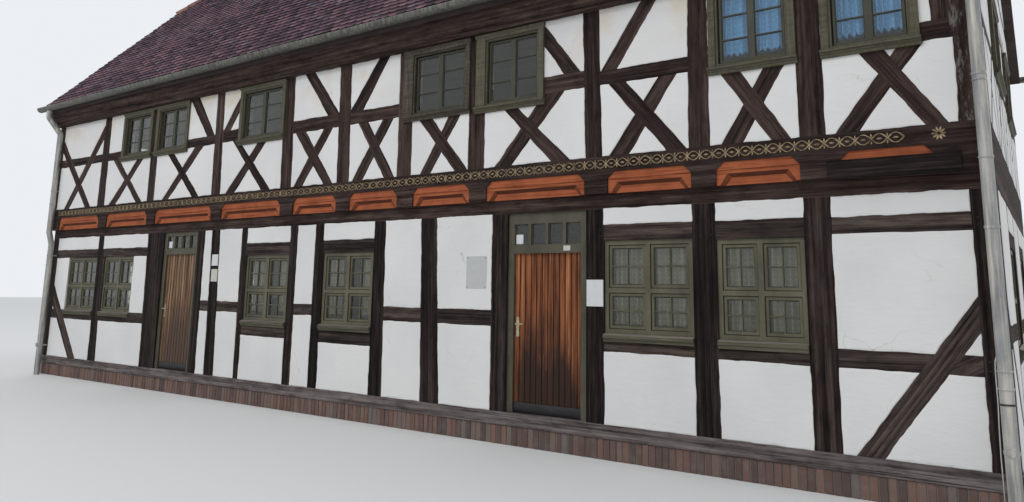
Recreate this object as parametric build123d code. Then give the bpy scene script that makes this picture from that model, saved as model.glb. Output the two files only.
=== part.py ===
from build123d import *
import os
from math import cos, radians, tan

os.makedirs("parts", exist_ok=True)

# Half timbered house: two storeys of oak framing with plaster panels, an upper storey that
# jetties out over carved fillets, and a half-hipped tiled roof.
# All sizes are in millimetres. While it is drawn, x runs along the street front from its left
# corner, y runs from the front wall into the house and z is the height above the ground.
# The finished nodes are moved so that the origin is the middle of the plan at ground level.

# Overall sizes
LENGTH = 18080
DEPTH = 7400
JETTY = 120


def spread(rows, count):
    """Stretch the first values of each row, which are places along a front 18,080 mm long."""
    return [tuple(x * LENGTH / 18080 for x in row[:count]) + tuple(row[count:]) for row in rows]


# Heights, from the ground up
PLINTH_H = 240
SILL_H = 160
GROUND_STOREY_H = 2540
PLATE_H = 180
JOIST_H = 260
UPPER_SILL_H = 196
UPPER_STOREY_H = 1889
EAVE_PLATE_H = 190
ATTIC_FLOOR_H = 200

# Timber and panels
TIMBER = 180
PANEL_SET_BACK = 6
PLINTH_W = 240
PLINTH_SET_BACK = 12
SILL_LEDGE = 12

# Levels worked out from the heights
SILL_TOP = PLINTH_H + SILL_H
PLATE_BOTTOM = SILL_TOP + GROUND_STOREY_H
PLATE_TOP = PLATE_BOTTOM + PLATE_H
JOIST_TOP = PLATE_TOP + JOIST_H
UPPER_SILL_TOP = JOIST_TOP + UPPER_SILL_H
EAVE_PLATE_BOTTOM = UPPER_SILL_TOP + UPPER_STOREY_H
EAVE_PLATE_TOP = EAVE_PLATE_BOTTOM + EAVE_PLATE_H
ATTIC_FLOOR_TOP = EAVE_PLATE_TOP + ATTIC_FLOOR_H

# Street front, ground floor: each post is its left and right edge at the foot, then at the head
FRONT_POSTS = spread([
    (0, 250, 0, 250),
    (1978, 2300, 1978, 2195),
    (3925, 4100, 3843, 4100),
    (4100, 4410, 4100, 4410),
    (5520, 5765, 5520, 5755),
    (6015, 6310, 5955, 6205),
    (6855, 7000, 6835, 7000),
    (8130, 8330, 8130, 8325),
    (8750, 8960, 8750, 8960),
    (10070, 10355, 10070, 10305),
    (11085, 11430, 11005, 11305),
    (12290, 12540, 12280, 12540),
    (13730, 13980, 13730, 13980),
    (15110, 15390, 15110, 15390),
    (16340, 16620, 16340, 16620),
    (17860, 18080, 17860, 18080),
], 4)

# Street front, ground floor rails: left post, right post, underside, top
FRONT_RAILS = [
    (0, 1, 2100, 2280), (0, 1, 800, 1000),
    (1, 2, 2100, 2280), (1, 2, 800, 1000),
    (4, 5, 1100, 1280), (5, 6, 1100, 1280),
    (6, 7, 2070, 2280), (6, 7, 720, 980),
    (7, 8, 1100, 1280),
    (8, 9, 2080, 2285), (8, 9, 690, 980),
    (9, 10, 1070, 1280), (10, 11, 1070, 1280),
    (12, 13, 2150, 2350), (12, 13, 830, 1050),
    (13, 14, 2130, 2340), (13, 14, 820, 1040),
    (14, 15, 2150, 2330), (14, 15, 820, 1010),
]

# A stud between the second post, which tapers, and the window beside it
FRONT_STUDS = spread([(2150, 2275, 980, 2120)], 2)

# Street front, ground floor windows: left edge, right edge, sill, head
FRONT_WINDOWS = spread([
    (790, 1978, 1000, 2100),
    (2275, 3405, 1000, 2100),
    (7000, 8130, 980, 2070),
    (8960, 10070, 980, 2080),
    (13980, 15110, 1050, 2150),
    (15390, 16340, 1040, 2130),
], 2)

# Long corner braces of the ground floor: foot on the sill, then where they meet the post
LEFT_BRACE = spread([(1160, 0), (1475, 0), (250, 1525), (250, 1085)], 1)
RIGHT_BRACE = spread([(16735, 0), (16990, 0), (17860, 1205), (17860, 1545)], 1)

# Street front, upper storey, measured like the ground floor but up from the upper sill
UPPER_POSTS = spread([
    (0, 215, 0, 245),
    (1970, 2270, 1985, 2250),
    (3880, 4130, 3850, 4110),
    (6000, 6280, 5970, 6210),
    (7930, 8220, 7900, 8170),
    (9300, 9590, 9270, 9530),
    (10590, 10880, 10580, 10860),
    (11930, 12220, 11920, 12200),
    (13790, 14030, 13750, 13990),
    (15140, 15400, 15160, 15400),
    (16370, 16640, 16360, 16630),
    (17830, 18080, 17850, 18080),
], 4)
RAIL_BOTTOM = 934
RAIL_H = 180
# Underside and top of the upper storey's mid rail in each bay, from the left
UPPER_RAILS = (
    (934, 1114), (934, 1104), (934, 1110), (934, 1150), (894, 1114), (894, 1104), (894, 1104),
    (900, 1128), (894, 1080), (894, 1080), (834, 1034),
)

# Upper windows: outer edges of the planted casing, then its sill; their heads are in one line
CASING_TOP = UPPER_STOREY_H - 12
UPPER_CASINGS = spread([
    (2806, 3900, 872, CASING_TOP),
    (4040, 5140, 872, CASING_TOP),
    (6727, 7961, 832, CASING_TOP),
    (10708, 11947, 792, CASING_TOP),
    (12061, 13176, 762, CASING_TOP),
    (15415, 16380, 802, CASING_TOP),
    (16639, 17564, 802, CASING_TOP),
], 2)

# Cross braces below the mid rail: foot and head of the falling one, foot and head of the rising one
CROSS_BRACES = [spread(cross, 2) for cross in (
    ((3470, 3700), (2465, 2695), (2444, 2720), (3443, 3690)),
    ((5390, 5625), (4428, 4645), (4410, 4645), (5365, 5662)),
    ((7424, 7675), (6526, 6722), (6430, 6703), (7343, 7590)),
    ((8985, 9215), (8215, 8485), (8270, 8515), (8960, 9190)),
    ((10330, 10545), (9705, 9935), (9650, 9885), (10280, 10520)),
    ((11690, 11920), (10895, 11150), (11050, 11260), (11650, 11880)),
    ((13283, 13565), (12362, 12594), (12390, 12674), (13193, 13520)),
    ((14860, 15120), (14085, 14325), (14120, 14395), (14810, 15045)),
    ((16070, 16290), (15450, 15683), (15530, 15770), (16090, 16330)),
    ((17548, 17750), (16904, 17149), (16728, 16965), (17437, 17660)),
)]
# The first bay's cross runs on over the rail to the posts
FIRST_FALLING = spread([(1450, 0), (1690, 0), (200, 1605), (200, 1318)], 1)
FIRST_RISING = spread([(545, 0), (790, 0), (2000, 1440), (2000, 1765)], 1)

# Upper braces that lean against a post: foot left and right, head left and right
LEANING_BRACES = spread([
    (5753, 6000, 5115, 5414),
    (6160, 6415, 6790, 6965),
    (9045, 9330, 8414, 8662),
    (9505, 9815, 10125, 10365),
    (13510, 13765, 12930, 13135),
    (14005, 14240, 14567, 14796),
], 4)
LEANING_FOOT = 1075
CORNER_STUD = spread([(17660, 17840)], 2)[0]

# The rail behind a casing's sill is this much narrower and higher than the casing
WINDOW_RAIL_INSET = 40
WINDOW_RAIL_LIFT = 6

# Jetty: carved fillets between the joist heads, left and right end
FILLETS = spread([
    (380, 2080), (2390, 3920), (4200, 6030), (6330, 7960), (8280, 9310), (9600, 10610),
    (10920, 11960), (12250, 13770), (14090, 15160), (15450, 16360), (16750, 17610),
], 2)
FILLET_BAND_H = 90
FILLET_SET_BACK = 14
FILLET_STEP = 12
KEEL_DEPTH = 38
KEEL_TOP = 128
KEEL_END = 40
KEEL_SLANT = 84
KEEL_CHAMFER = 42
# A plain board covers the lower part of the last fillet and the joist heads beside it
COVER_BOARD = spread([(16630, 17830)], 2)[0]
COVER_BOARD_LOW = 24
COVER_BOARD_T = 26

# Windows
FRAME_W = 52
FRAME_D = 90
FRAME_SET_BACK = 22
MULLION_W = 62
TRANSOM_H = 56
TRANSOM_AT = 0.46
SASH_W = 38
SASH_D = 46
SASH_SET_BACK = 16
GLASS_T = 6
SILL_BOARD_H = 96
SILL_BOARD_OUT = 46
CASING_W = 80
CASING_OUT = 40
CASING_SILL_H = 96
CASING_SILL_OUT = 72
CASING_SILL_PAST = 12
CASING_REVEAL = 20
CASING_HEAD_OUT = 60
CASING_HEAD_H = 44
UPPER_FRAME_W = 26

# Doors: the opening runs between two posts, from the sill to the plate. Each has those posts, the
# height of its leaf and how deep the head over its lights is
DOORS = {"left": (3, 4, 2120, 70), "right": (11, 12, 2015, 140)}
JAMB_W = 70
JAMB_SET_BACK = 30
STOP_D = 30
STOP_LAP = 14
LEAF_T = 50
DOOR_GAP = 8
TRANSOM_RAIL_H = 96
LIGHTS = 4
LIGHT_BAR_W = 44
WEATHERBOARD_H = 120
HINGE_R = 10
PIN_R = 5
PIN_CLEARANCE = 0.3
KNUCKLE_H = 45
HINGE_LEAF_W = 44
HINGE_LEAF_T = 3
HINGE_HEIGHTS = (260, 1000, 1740)
WEATHERBOARD_OUT = 24
HANDLE_EDGE = 60
HANDLE_Z = 1110
HANDLE_PLATE_W = 44
HANDLE_PLATE_H = 250
HANDLE_PLATE_T = 4
HANDLE_PLATE_R = 12
HANDLE_OUT = 58
LEVER_R = 9
LEVER_LENGTH = 115

# Eaves and roof
PITCH = 47
HIP_PITCH = 43
TILE_EDGE_OUT = 380
TILE_EDGE_Z = EAVE_PLATE_TOP + 295
ROOF_T = 140
VERGE = 150
HIP_START_Z = TILE_EDGE_Z + 3090
CORNICE_FOOT = 100
CORNICE_OUT = 253
CORNICE_RISE = 220
GUTTER_R = 90
GUTTER_T = 4
GUTTER_OUT = TILE_EDGE_OUT + 120
GUTTER_Z = TILE_EDGE_Z - 80
GUTTER_PAST = 230
BRACKET_W = 30
BRACKET_PITCH = 950
PIPE_R = 58
PIPE_STAND_OFF = 95
PIPE_BAND = 6
PIPE_NECK = 150
PIPE_SLANT = 340
PIPE_BEND = 90
# Each pipe is its place along the front and how far its lower part turns back under the jetty
PIPES = ((200, 70), (LENGTH - 50, 0))
PIPE_TURN_Z = PLATE_TOP - 50
PIPE_TURN_H = 260
PIPE_BRACKETS = (SILL_TOP + 220, PLATE_BOTTOM - 380, UPPER_SILL_TOP + 414)
HATCH_R = 40
HATCH_OUT = 14
HATCH_Z = SILL_TOP + 230
HIP_GUTTER_R = 60
HIP_GUTTER_PAST = 120
HIP_GUTTER_DROP = 90
RIDGE_TILE_R = 120
RIDGE_TILE_PAST = 70
HIP_TILE_R = 110
RIDGE_TILE_DROP = 40

# Rear and gables
REAR_BAYS = 9
REAR_POST_W = 250
REAR_WINDOW_BAYS = (1, 2, 4, 6, 7)
GABLE_BAYS = 5
GABLE_POST_W = 240
GABLE_WINDOW_BAYS = (1, 3)
REAR_WINDOW_SILL = 1000
REAR_WINDOW_HEAD = 2100
LINTEL_H = 180
EVEN_RAIL = 1100
# The corner braces of the even walls: how far and high they reach, and their two ends
EVEN_BRACE_RUN = 1160
EVEN_BRACE_RISE = 1450
EVEN_BRACE_FOOT = (-120, 180)
EVEN_BRACE_HEAD = 380
# The crosses of the even walls: their width, and how far head and foot stay from the posts
EVEN_CROSS_W = 230
EVEN_CROSS_FOOT = 20
EVEN_CROSS_HEAD = 60
EVEN_CASING_LAP = 40
EVEN_CASING_SILL = 830
ATTIC_WINDOW_W = 1100
ATTIC_WINDOW_H = 1100
ATTIC_WINDOW_SILL = 700
ATTIC_POST_W = 200
ATTIC_POST_AT = 1900
ATTIC_COLLAR_H = 200


def poly(points):
    """A flat outline in the wall's own u, v."""
    return make_face(Polyline(*points, close=True))


def rect(u0, u1, v0, v1):
    return poly([(u0, v0), (u1, v0), (u1, v1), (u0, v1)])


def wall_plane(side, out, z, start=0):
    """The outer face of a wall at height z, with u to the right as seen from outside.

    out is how far the long walls stand out past the plan, and start is where u is 0,
    measured from the corner that is on the left as seen from outside.
    """
    if side == "front":
        return Plane(origin=(start, -out, z), x_dir=(1, 0, 0), z_dir=(0, -1, 0))
    if side == "rear":
        return Plane(origin=(LENGTH - start, DEPTH + out, z), x_dir=(-1, 0, 0), z_dir=(0, 1, 0))
    if side == "left":
        return Plane(origin=(0, DEPTH + out - start, z), x_dir=(0, -1, 0), z_dir=(-1, 0, 0))
    return Plane(origin=(LENGTH, start - out, z), x_dir=(0, 1, 0), z_dir=(1, 0, 0))


def thicken(plane, flat, near, far):
    """Fill the flat outline from depth near to depth far behind the wall's face."""
    inward = plane.z_dir * -1
    return [
        extrude(Plane(origin=plane.origin + inward * near, x_dir=plane.x_dir, z_dir=plane.z_dir) * face,
                amount=far - near, dir=inward)
        for face in flat.faces()
    ]


def union(flats):
    """One flat outline from many."""
    total = flats[0]
    for flat in flats[1:]:
        total = total + flat
    return total


def cut(flat, cutters):
    """The outline without the cutters, or None where nothing is left."""
    if cutters:
        flat = flat - cutters
    return flat if flat is not None and flat.faces() else None


def framed_wall(plane, outline, posts, rails, long_braces, braces, crosses, long_crosses, openings):
    """Posts, rails, braces and panels of one storey, as lists of solids.

    Posts are whole. Long braces stop at posts, rails stop at posts, long braces and openings,
    and short braces stop at all of these. Panels fill what is left.
    """
    made = {"posts": [], "rails": [], "braces": [], "falling": [], "rising": [], "panels": []}
    post_faces = [poly([(a, 0), (b, 0), (d, h), (c, h)]) & outline for a, b, c, d, h in posts]
    for face in post_faces:
        made["posts"] += thicken(plane, face, 0, TIMBER)
    open_faces = [rect(*opening) for opening in openings]
    brace_faces = []
    for points in long_braces:
        face = cut(poly(points) & outline, post_faces)
        brace_faces.append(face)
        made["braces"] += thicken(plane, face, 0, TIMBER)
    cross_faces = []
    for falling, rising in long_crosses:
        pair = tuple(cut(poly(points) & outline, post_faces) for points in (falling, rising))
        cross_faces.append(pair)
        brace_faces += pair
    stops = post_faces + brace_faces + open_faces
    rail_faces = []
    for rail in rails:
        face = cut(rect(*rail) & outline, stops + rail_faces)
        if face is not None:
            rail_faces.append(face)
            made["rails"] += thicken(plane, face, 0, TIMBER)
    stops = stops + rail_faces
    short_faces = []
    for points in braces:
        face = cut(poly(points) & outline, stops)
        short_faces.append(face)
        made["braces"] += thicken(plane, face, 0, TIMBER)
    for falling, rising in crosses:
        pair = (cut(poly(falling), stops), cut(poly(rising), stops))
        cross_faces.append(pair)
        short_faces += pair
    half = TIMBER / 2
    for falling, rising in cross_faces:
        lap = falling & rising
        made["falling"] += [
            solid - thicken(plane, lap, half, TIMBER) for solid in thicken(plane, falling, 0, TIMBER)
        ]
        made["rising"] += [
            solid - thicken(plane, lap, 0, half) for solid in thicken(plane, rising, 0, TIMBER)
        ]
    panel = cut(outline, stops + short_faces)
    made["panels"] += thicken(plane, panel, PANEL_SET_BACK, TIMBER)
    return made


def write(name, shapes):
    """Move the solids to the middle of the plan and write one file for the node."""
    middle = Pos(-LENGTH / 2, -DEPTH / 2, 0)
    solids = [middle * solid for shape in shapes for solid in shape.solids()]
    export_step(Compound(solids), f"parts/{name}.step")


def block(x0, x1, y0, y1, z0, z1):
    return Pos((x0 + x1) / 2, (y0 + y1) / 2, (z0 + z1) / 2) * Box(x1 - x0, y1 - y0, z1 - z0)


def ring(out, width, z0, z1, out_y=None):
    """A closed frame of beams around the plan."""
    out_y = out if out_y is None else out_y
    outer = block(-out, LENGTH + out, -out_y, DEPTH + out_y, z0, z1)
    inner = block(width - out, LENGTH + out - width, width - out_y, DEPTH + out_y - width, z0 - 1, z1 + 1)
    return outer - inner


# Walls, drawn as numbers

def with_height(posts, height):
    return [(a, b, c, d, height) for a, b, c, d in posts]


def post_middle(post, v, height):
    """Middle of a post at height v, where the post is this high."""
    a, b, c, d = post
    return ((a + b) * (height - v) + (c + d) * v) / (2 * height)


def post_edge(posts, index, side):
    """The outermost x of a post towards the left or the right."""
    a, b, c, d = posts[index]
    return min(a, c) if side == "left" else max(b, d)


def front_ground():
    rails = [
        (*(post_middle(FRONT_POSTS[post], low, GROUND_STOREY_H) for post in (i, j)), low, high)
        for i, j, low, high in FRONT_RAILS
    ] + FRONT_STUDS
    doors = [door_opening(side) for side in DOORS]
    openings = FRONT_WINDOWS + [(a, b, 0, GROUND_STOREY_H) for a, b in doors]
    return framed_wall(
        wall_plane("front", 0, SILL_TOP), rect(0, LENGTH, 0, GROUND_STOREY_H),
        with_height(FRONT_POSTS, GROUND_STOREY_H), rails, [LEFT_BRACE, RIGHT_BRACE], [], [], [],
        openings)


def door_opening(side):
    left, right = DOORS[side][0:2]
    return FRONT_POSTS[left][1], FRONT_POSTS[right][0]


def upper_opening(casing, posts):
    """The clear hole behind a casing, kept between the posts beside it."""
    u0, u1, v0, v1 = casing
    left, right = u0 + CASING_W, u1 - CASING_W
    for index in range(len(posts)):
        low, high = post_edge(posts, index, "left"), post_edge(posts, index, "right")
        if low < left < high:
            left = high
        if low < right < high:
            right = low
    return left, right, v0 + CASING_SILL_H, v1 - CASING_W


def window_rail(casing):
    """The rail hidden behind a casing's sill."""
    u0, u1, v0, v1 = casing
    return u0 + WINDOW_RAIL_INSET, u1 - WINDOW_RAIL_INSET, v0 + WINDOW_RAIL_LIFT, v0 + CASING_SILL_H


def cross_points(cross, head):
    (a, b), (c, d), (e, f), (g, h) = cross
    return [(a, 0), (b, 0), (d, head), (c, head)], [(e, 0), (f, 0), (h, head), (g, head)]


def front_upper():
    rails = [
        (*(post_middle(post, low, UPPER_STOREY_H) for post in UPPER_POSTS[i:i + 2]), low, high)
        for i, (low, high) in enumerate(UPPER_RAILS)
    ]
    rails = [window_rail(casing) for casing in UPPER_CASINGS] + rails
    openings = [upper_opening(casing, UPPER_POSTS) for casing in UPPER_CASINGS]
    crosses = [cross_points(cross, RAIL_BOTTOM) for cross in CROSS_BRACES]
    leaning = [
        [(a, LEANING_FOOT), (b, LEANING_FOOT), (d, UPPER_STOREY_H), (c, UPPER_STOREY_H)]
        for a, b, c, d in LEANING_BRACES
    ]
    rails.append((*CORNER_STUD, UPPER_RAILS[-1][1], UPPER_STOREY_H))
    return framed_wall(
        wall_plane("front", JETTY, UPPER_SILL_TOP), rect(0, LENGTH, 0, UPPER_STOREY_H),
        with_height(UPPER_POSTS, UPPER_STOREY_H), rails, [], leaning, crosses,
        [(FIRST_FALLING, FIRST_RISING)], openings)


def even_posts(width, bays, post_w, ends):
    """Upright posts on even bays, with the first and last only where the wall has its ends."""
    pitch = (width - post_w) / bays if ends else width / bays
    first, last = (0, bays) if ends else (1, bays - 1)
    shift = 0 if ends else -post_w / 2
    return [
        (i * pitch + shift, i * pitch + shift + post_w, i * pitch + shift, i * pitch + shift + post_w)
        for i in range(first, last + 1)
    ]


def bay_edges(width, bays, post_w, ends):
    """Left and right edge of each bay's opening between its posts."""
    posts = even_posts(width, bays, post_w, ends)
    edges = [post[0:2] for post in posts]
    if not ends:
        edges = [(0, 0)] + edges + [(width, width)]
    return [(edges[i][1], edges[i + 1][0]) for i in range(bays)]


def plain_ground(width, bays, post_w, ends, window_bays):
    """Rails, corner braces and windows of an even wall's ground floor."""
    edges = bay_edges(width, bays, post_w, ends)
    rails, windows = [], []
    for i, (u0, u1) in enumerate(edges):
        if i in window_bays:
            windows.append((u0, u1, REAR_WINDOW_SILL, REAR_WINDOW_HEAD))
            rails.append((u0, u1, REAR_WINDOW_HEAD, REAR_WINDOW_HEAD + LINTEL_H))
            rails.append((u0, u1, REAR_WINDOW_SILL - LINTEL_H, REAR_WINDOW_SILL))
        else:
            rails.append((u0, u1, EVEN_RAIL, EVEN_RAIL + RAIL_H))
    u0, u1 = edges[0]
    foot = [u0 + EVEN_BRACE_RUN + part for part in EVEN_BRACE_FOOT]
    left = [(foot[0], 0), (foot[1], 0), (u0, EVEN_BRACE_RISE), (u0, EVEN_BRACE_RISE - EVEN_BRACE_HEAD)]
    right = [(width - u, v) for u, v in left]
    return rails, [left, right], windows


def plain_upper(width, bays, post_w, ends, window_bays):
    """Rails, crosses and casings of an even wall's upper storey."""
    edges = bay_edges(width, bays, post_w, ends)
    rails, casings, crosses = [], [], []
    for i, (u0, u1) in enumerate(edges):
        rails.append((u0, u1, RAIL_BOTTOM, RAIL_BOTTOM + RAIL_H))
        if i in window_bays:
            casings.append((u0 - EVEN_CASING_LAP, u1 + EVEN_CASING_LAP, EVEN_CASING_SILL, CASING_TOP))
        low_left, low_right = u0 + EVEN_CROSS_FOOT, u1 - EVEN_CROSS_FOOT
        top_left, top_right = u0 + EVEN_CROSS_HEAD, u1 - EVEN_CROSS_HEAD
        falling = (low_right - EVEN_CROSS_W, low_right), (top_left, top_left + EVEN_CROSS_W)
        rising = (low_left, low_left + EVEN_CROSS_W), (top_right - EVEN_CROSS_W, top_right)
        crosses.append(cross_points(falling + rising, RAIL_BOTTOM))
    return rails, casings, crosses


def both_gables(make):
    """The same wall on the left and right gable, node by node."""
    left, right = make("left"), make("right")
    return {key: left[key] + right[key] for key in left}


def even_windows(side):
    """Bays, post width and whether the wall has its own corner posts."""
    if side == "rear":
        return REAR_BAYS, REAR_POST_W, True, REAR_WINDOW_BAYS
    return GABLE_BAYS, GABLE_POST_W, False, GABLE_WINDOW_BAYS


def even_plane(side, storey):
    """The wall's plane and its width, for the walls that are drawn on even bays."""
    out = 0 if storey == "ground" else JETTY
    z = SILL_TOP if storey == "ground" else UPPER_SILL_TOP
    if side == "rear":
        return wall_plane(side, out, z), LENGTH
    return wall_plane(side, out, z, TIMBER), DEPTH + 2 * out - 2 * TIMBER


def even_wall(side, storey):
    plane, width = even_plane(side, storey)
    bays, post_w, ends, window_bays = even_windows(side)
    posts = even_posts(width, bays, post_w, ends)
    if storey == "ground":
        rails, braces, windows = plain_ground(width, bays, post_w, ends, window_bays)
        return framed_wall(plane, rect(0, width, 0, GROUND_STOREY_H), with_height(posts, GROUND_STOREY_H),
                           rails, braces, [], [], [], windows)
    rails, casings, crosses = plain_upper(width, bays, post_w, ends, window_bays)
    openings = [upper_opening(casing, posts) for casing in casings]
    rails = [window_rail(casing) for casing in casings] + rails
    return framed_wall(plane, rect(0, width, 0, UPPER_STOREY_H), with_height(posts, UPPER_STOREY_H),
                       rails, [], [], crosses, [], openings)


# Roof lines, as heights over the plan

def roof_top(y):
    """Height of the tiled surface over a point of the front slope."""
    return TILE_EDGE_Z + (y + TILE_EDGE_OUT) * tan(radians(PITCH))


ROOF_DROP = ROOF_T / cos(radians(PITCH))
HIP_DROP = ROOF_T / cos(radians(HIP_PITCH))
RIDGE_Z = roof_top(DEPTH / 2)
HIP_START_Y = (HIP_START_Z - TILE_EDGE_Z) / tan(radians(PITCH)) - TILE_EDGE_OUT
RIDGE_END_X = (RIDGE_Z - HIP_START_Z) / tan(radians(HIP_PITCH)) - VERGE


def roof_under(y):
    return roof_top(y) - ROOF_DROP


def hip_under(x):
    """Height of the half-hip's underside over a point behind the left gable."""
    return HIP_START_Z + (x + VERGE) * tan(radians(HIP_PITCH)) - HIP_DROP


def attic_gable(side):
    """The gable wall between the attic floor and the half-hip, with one window."""
    plane = wall_plane(side, JETTY, ATTIC_FLOOR_TOP)
    width = DEPTH + 2 * JETTY
    top = hip_under(0) - ATTIC_FLOOR_TOP
    edge = roof_under(-JETTY) - ATTIC_FLOOR_TOP
    shoulder = (top - edge) / tan(radians(PITCH))
    outline = poly([(0, 0), (width, 0), (width, edge), (width - shoulder, top), (shoulder, top), (0, edge)])
    mid = width / 2
    half = ATTIC_WINDOW_W / 2
    beside = (mid - half - ATTIC_POST_W, mid + half)
    outer = (mid - ATTIC_POST_AT, mid + ATTIC_POST_AT - ATTIC_POST_W)
    posts = [(x, x + ATTIC_POST_W, x, x + ATTIC_POST_W, top) for x in beside + outer]
    opening = (mid - half, mid + half, ATTIC_WINDOW_SILL, ATTIC_WINDOW_SILL + ATTIC_WINDOW_H)
    rails = [
        (0, width, ATTIC_WINDOW_SILL - LINTEL_H, ATTIC_WINDOW_SILL),
        (0, width, opening[3], opening[3] + LINTEL_H),
        (0, width, top - ATTIC_COLLAR_H, top),
    ]
    return framed_wall(plane, outline, posts, rails, [], [], [], [], [opening])


def roof_tent(drop, hip_drop, base):
    """The solid under the roof planes lowered by the drops, open below at height base."""
    far = DEPTH + TILE_EDGE_OUT
    section = poly([
        (-TILE_EDGE_OUT, base), (-TILE_EDGE_OUT, TILE_EDGE_Z - drop),
        (DEPTH / 2, RIDGE_Z - drop), (far, TILE_EDGE_Z - drop), (far, base)])
    length = LENGTH + 2 * VERGE
    side = Plane(origin=(-VERGE, 0, 0), x_dir=(0, 1, 0), z_dir=(1, 0, 0))
    tent = extrude(side * section, amount=length, dir=(1, 0, 0))
    run = RIDGE_END_X + VERGE
    rise = RIDGE_Z - HIP_START_Z
    low = HIP_START_Z - hip_drop
    for x, way in ((-VERGE, 1), (LENGTH + VERGE, -1)):
        wedge = poly([(x - way, low), (x + way * run * 2, low + rise * 2), (x - way, low + rise * 2)])
        front = Plane(origin=(0, 0, 0), x_dir=(1, 0, 0), z_dir=(0, -1, 0))
        cutter = extrude(front * wedge, amount=DEPTH + 2 * TILE_EDGE_OUT, dir=(0, 1, 0))
        tent -= Pos(0, -TILE_EDGE_OUT, 0) * cutter
    return tent


def plan_prism(points):
    return extrude(poly(points), amount=RIDGE_Z + 1000)


def roof_slabs():
    shell = roof_tent(0, 0, TILE_EDGE_Z - ROOF_DROP) - roof_tent(ROOF_DROP, HIP_DROP, 0)
    left, right = -VERGE, LENGTH + VERGE
    front = plan_prism([
        (left, -TILE_EDGE_OUT), (right, -TILE_EDGE_OUT), (right, HIP_START_Y),
        (LENGTH - RIDGE_END_X, DEPTH / 2), (RIDGE_END_X, DEPTH / 2), (left, HIP_START_Y)])
    hips = [
        plan_prism([(x, HIP_START_Y), (ridge, DEPTH / 2), (x, DEPTH - HIP_START_Y)])
        for x, ridge in ((left, RIDGE_END_X), (right, LENGTH - RIDGE_END_X))
    ]
    rear = mirror(front, about=Plane(origin=(0, DEPTH / 2, 0), x_dir=(1, 0, 0), z_dir=(0, 1, 0)))
    return shell & front, shell & rear, [shell & hip for hip in hips]


def ridge_tiles():
    """Half-round tiles along the ridge and the four hips, laid on the roof planes."""
    drop = Vector(0, 0, RIDGE_TILE_DROP)
    left, right = RIDGE_END_X - RIDGE_TILE_PAST, LENGTH - RIDGE_END_X + RIDGE_TILE_PAST
    base = Plane(origin=Vector(left, DEPTH / 2, RIDGE_Z) - drop, x_dir=(0, 1, 0), z_dir=(1, 0, 0))
    rolls = [extrude(base * Circle(RIDGE_TILE_R), amount=right - left)]
    for ridge_x, verge_x in ((RIDGE_END_X, -VERGE), (LENGTH - RIDGE_END_X, LENGTH + VERGE)):
        for y in (HIP_START_Y, DEPTH - HIP_START_Y):
            start, end = Vector(ridge_x, DEPTH / 2, RIDGE_Z), Vector(verge_x, y, HIP_START_Z)
            base = Plane(origin=start - drop, z_dir=(end - start).normalized())
            rolls.append(extrude(base * Circle(HIP_TILE_R), amount=(end - start).length - HIP_TILE_R))
    return union(rolls) - roof_tent(0, 0, 0)


def profile_along_x(points, x0, x1, rear=False):
    """Extrude a section of (distance out from the plan, height) along the house."""
    ys = [(DEPTH + out if rear else -out, z) for out, z in points]
    side = Plane(origin=(x0, 0, 0), x_dir=(0, 1, 0), z_dir=(1, 0, 0))
    return extrude(side * poly(ys), amount=x1 - x0, dir=(1, 0, 0))


def eave_cornices():
    section = [
        (JETTY, EAVE_PLATE_BOTTOM), (JETTY + CORNICE_FOOT, EAVE_PLATE_BOTTOM),
        (JETTY + CORNICE_OUT, EAVE_PLATE_BOTTOM + CORNICE_RISE),
        (JETTY + CORNICE_OUT, roof_under(-JETTY - CORNICE_OUT)), (JETTY, roof_under(-JETTY))]
    return [profile_along_x(section, 0, LENGTH, rear) for rear in (False, True)]


def sole_plates():
    section = [
        (JETTY, ATTIC_FLOOR_TOP), (JETTY - TIMBER, ATTIC_FLOOR_TOP),
        (JETTY - TIMBER, roof_under(TIMBER - JETTY)), (JETTY, roof_under(-JETTY))]
    return [profile_along_x(section, TIMBER, LENGTH - TIMBER, rear) for rear in (False, True)]


def channel(radius, length):
    """A half-round gutter along +X from the origin, with its two ends closed."""
    side = Plane(origin=(0, 0, 0), x_dir=(0, 1, 0), z_dir=(1, 0, 0))
    lower = Pos(0, -radius) * Rectangle(2 * radius + 2, 2 * radius)
    shell = (Circle(radius) - Circle(radius - GUTTER_T)) & lower
    cap = Circle(radius) & lower
    trough = extrude(side * shell, amount=length, dir=(1, 0, 0))
    near = extrude(side * cap, amount=GUTTER_T, dir=(1, 0, 0))
    return trough + near + Pos(length - GUTTER_T, 0, 0) * near


def gutters():
    length = LENGTH + 2 * GUTTER_PAST
    back = GUTTER_OUT - GUTTER_R
    count = round(length / BRACKET_PITCH)
    made = []
    for rear in (False, True):
        y = DEPTH + GUTTER_OUT if rear else -GUTTER_OUT
        gutter = Pos(-GUTTER_PAST, y, GUTTER_Z) * channel(GUTTER_R, length)
        near = sorted(DEPTH + out if rear else -out for out in (TILE_EDGE_OUT, back + GUTTER_T))
        for i in range(count):
            x = LENGTH * (i + 0.5) / count
            gutter += block(x - BRACKET_W / 2, x + BRACKET_W / 2, *near, GUTTER_Z - BRACKET_W, GUTTER_Z)
        made.append(gutter)
    span = DEPTH - 2 * HIP_START_Y + 2 * HIP_GUTTER_PAST
    for x, sign in ((-VERGE, -1), (LENGTH + VERGE, 1)):
        gutter = Pos(x + sign * HIP_GUTTER_R, HIP_START_Y - HIP_GUTTER_PAST, HIP_START_Z - HIP_GUTTER_DROP)
        made.append(gutter * Rot(0, 0, 90) * channel(HIP_GUTTER_R, span))
    return made


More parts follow.
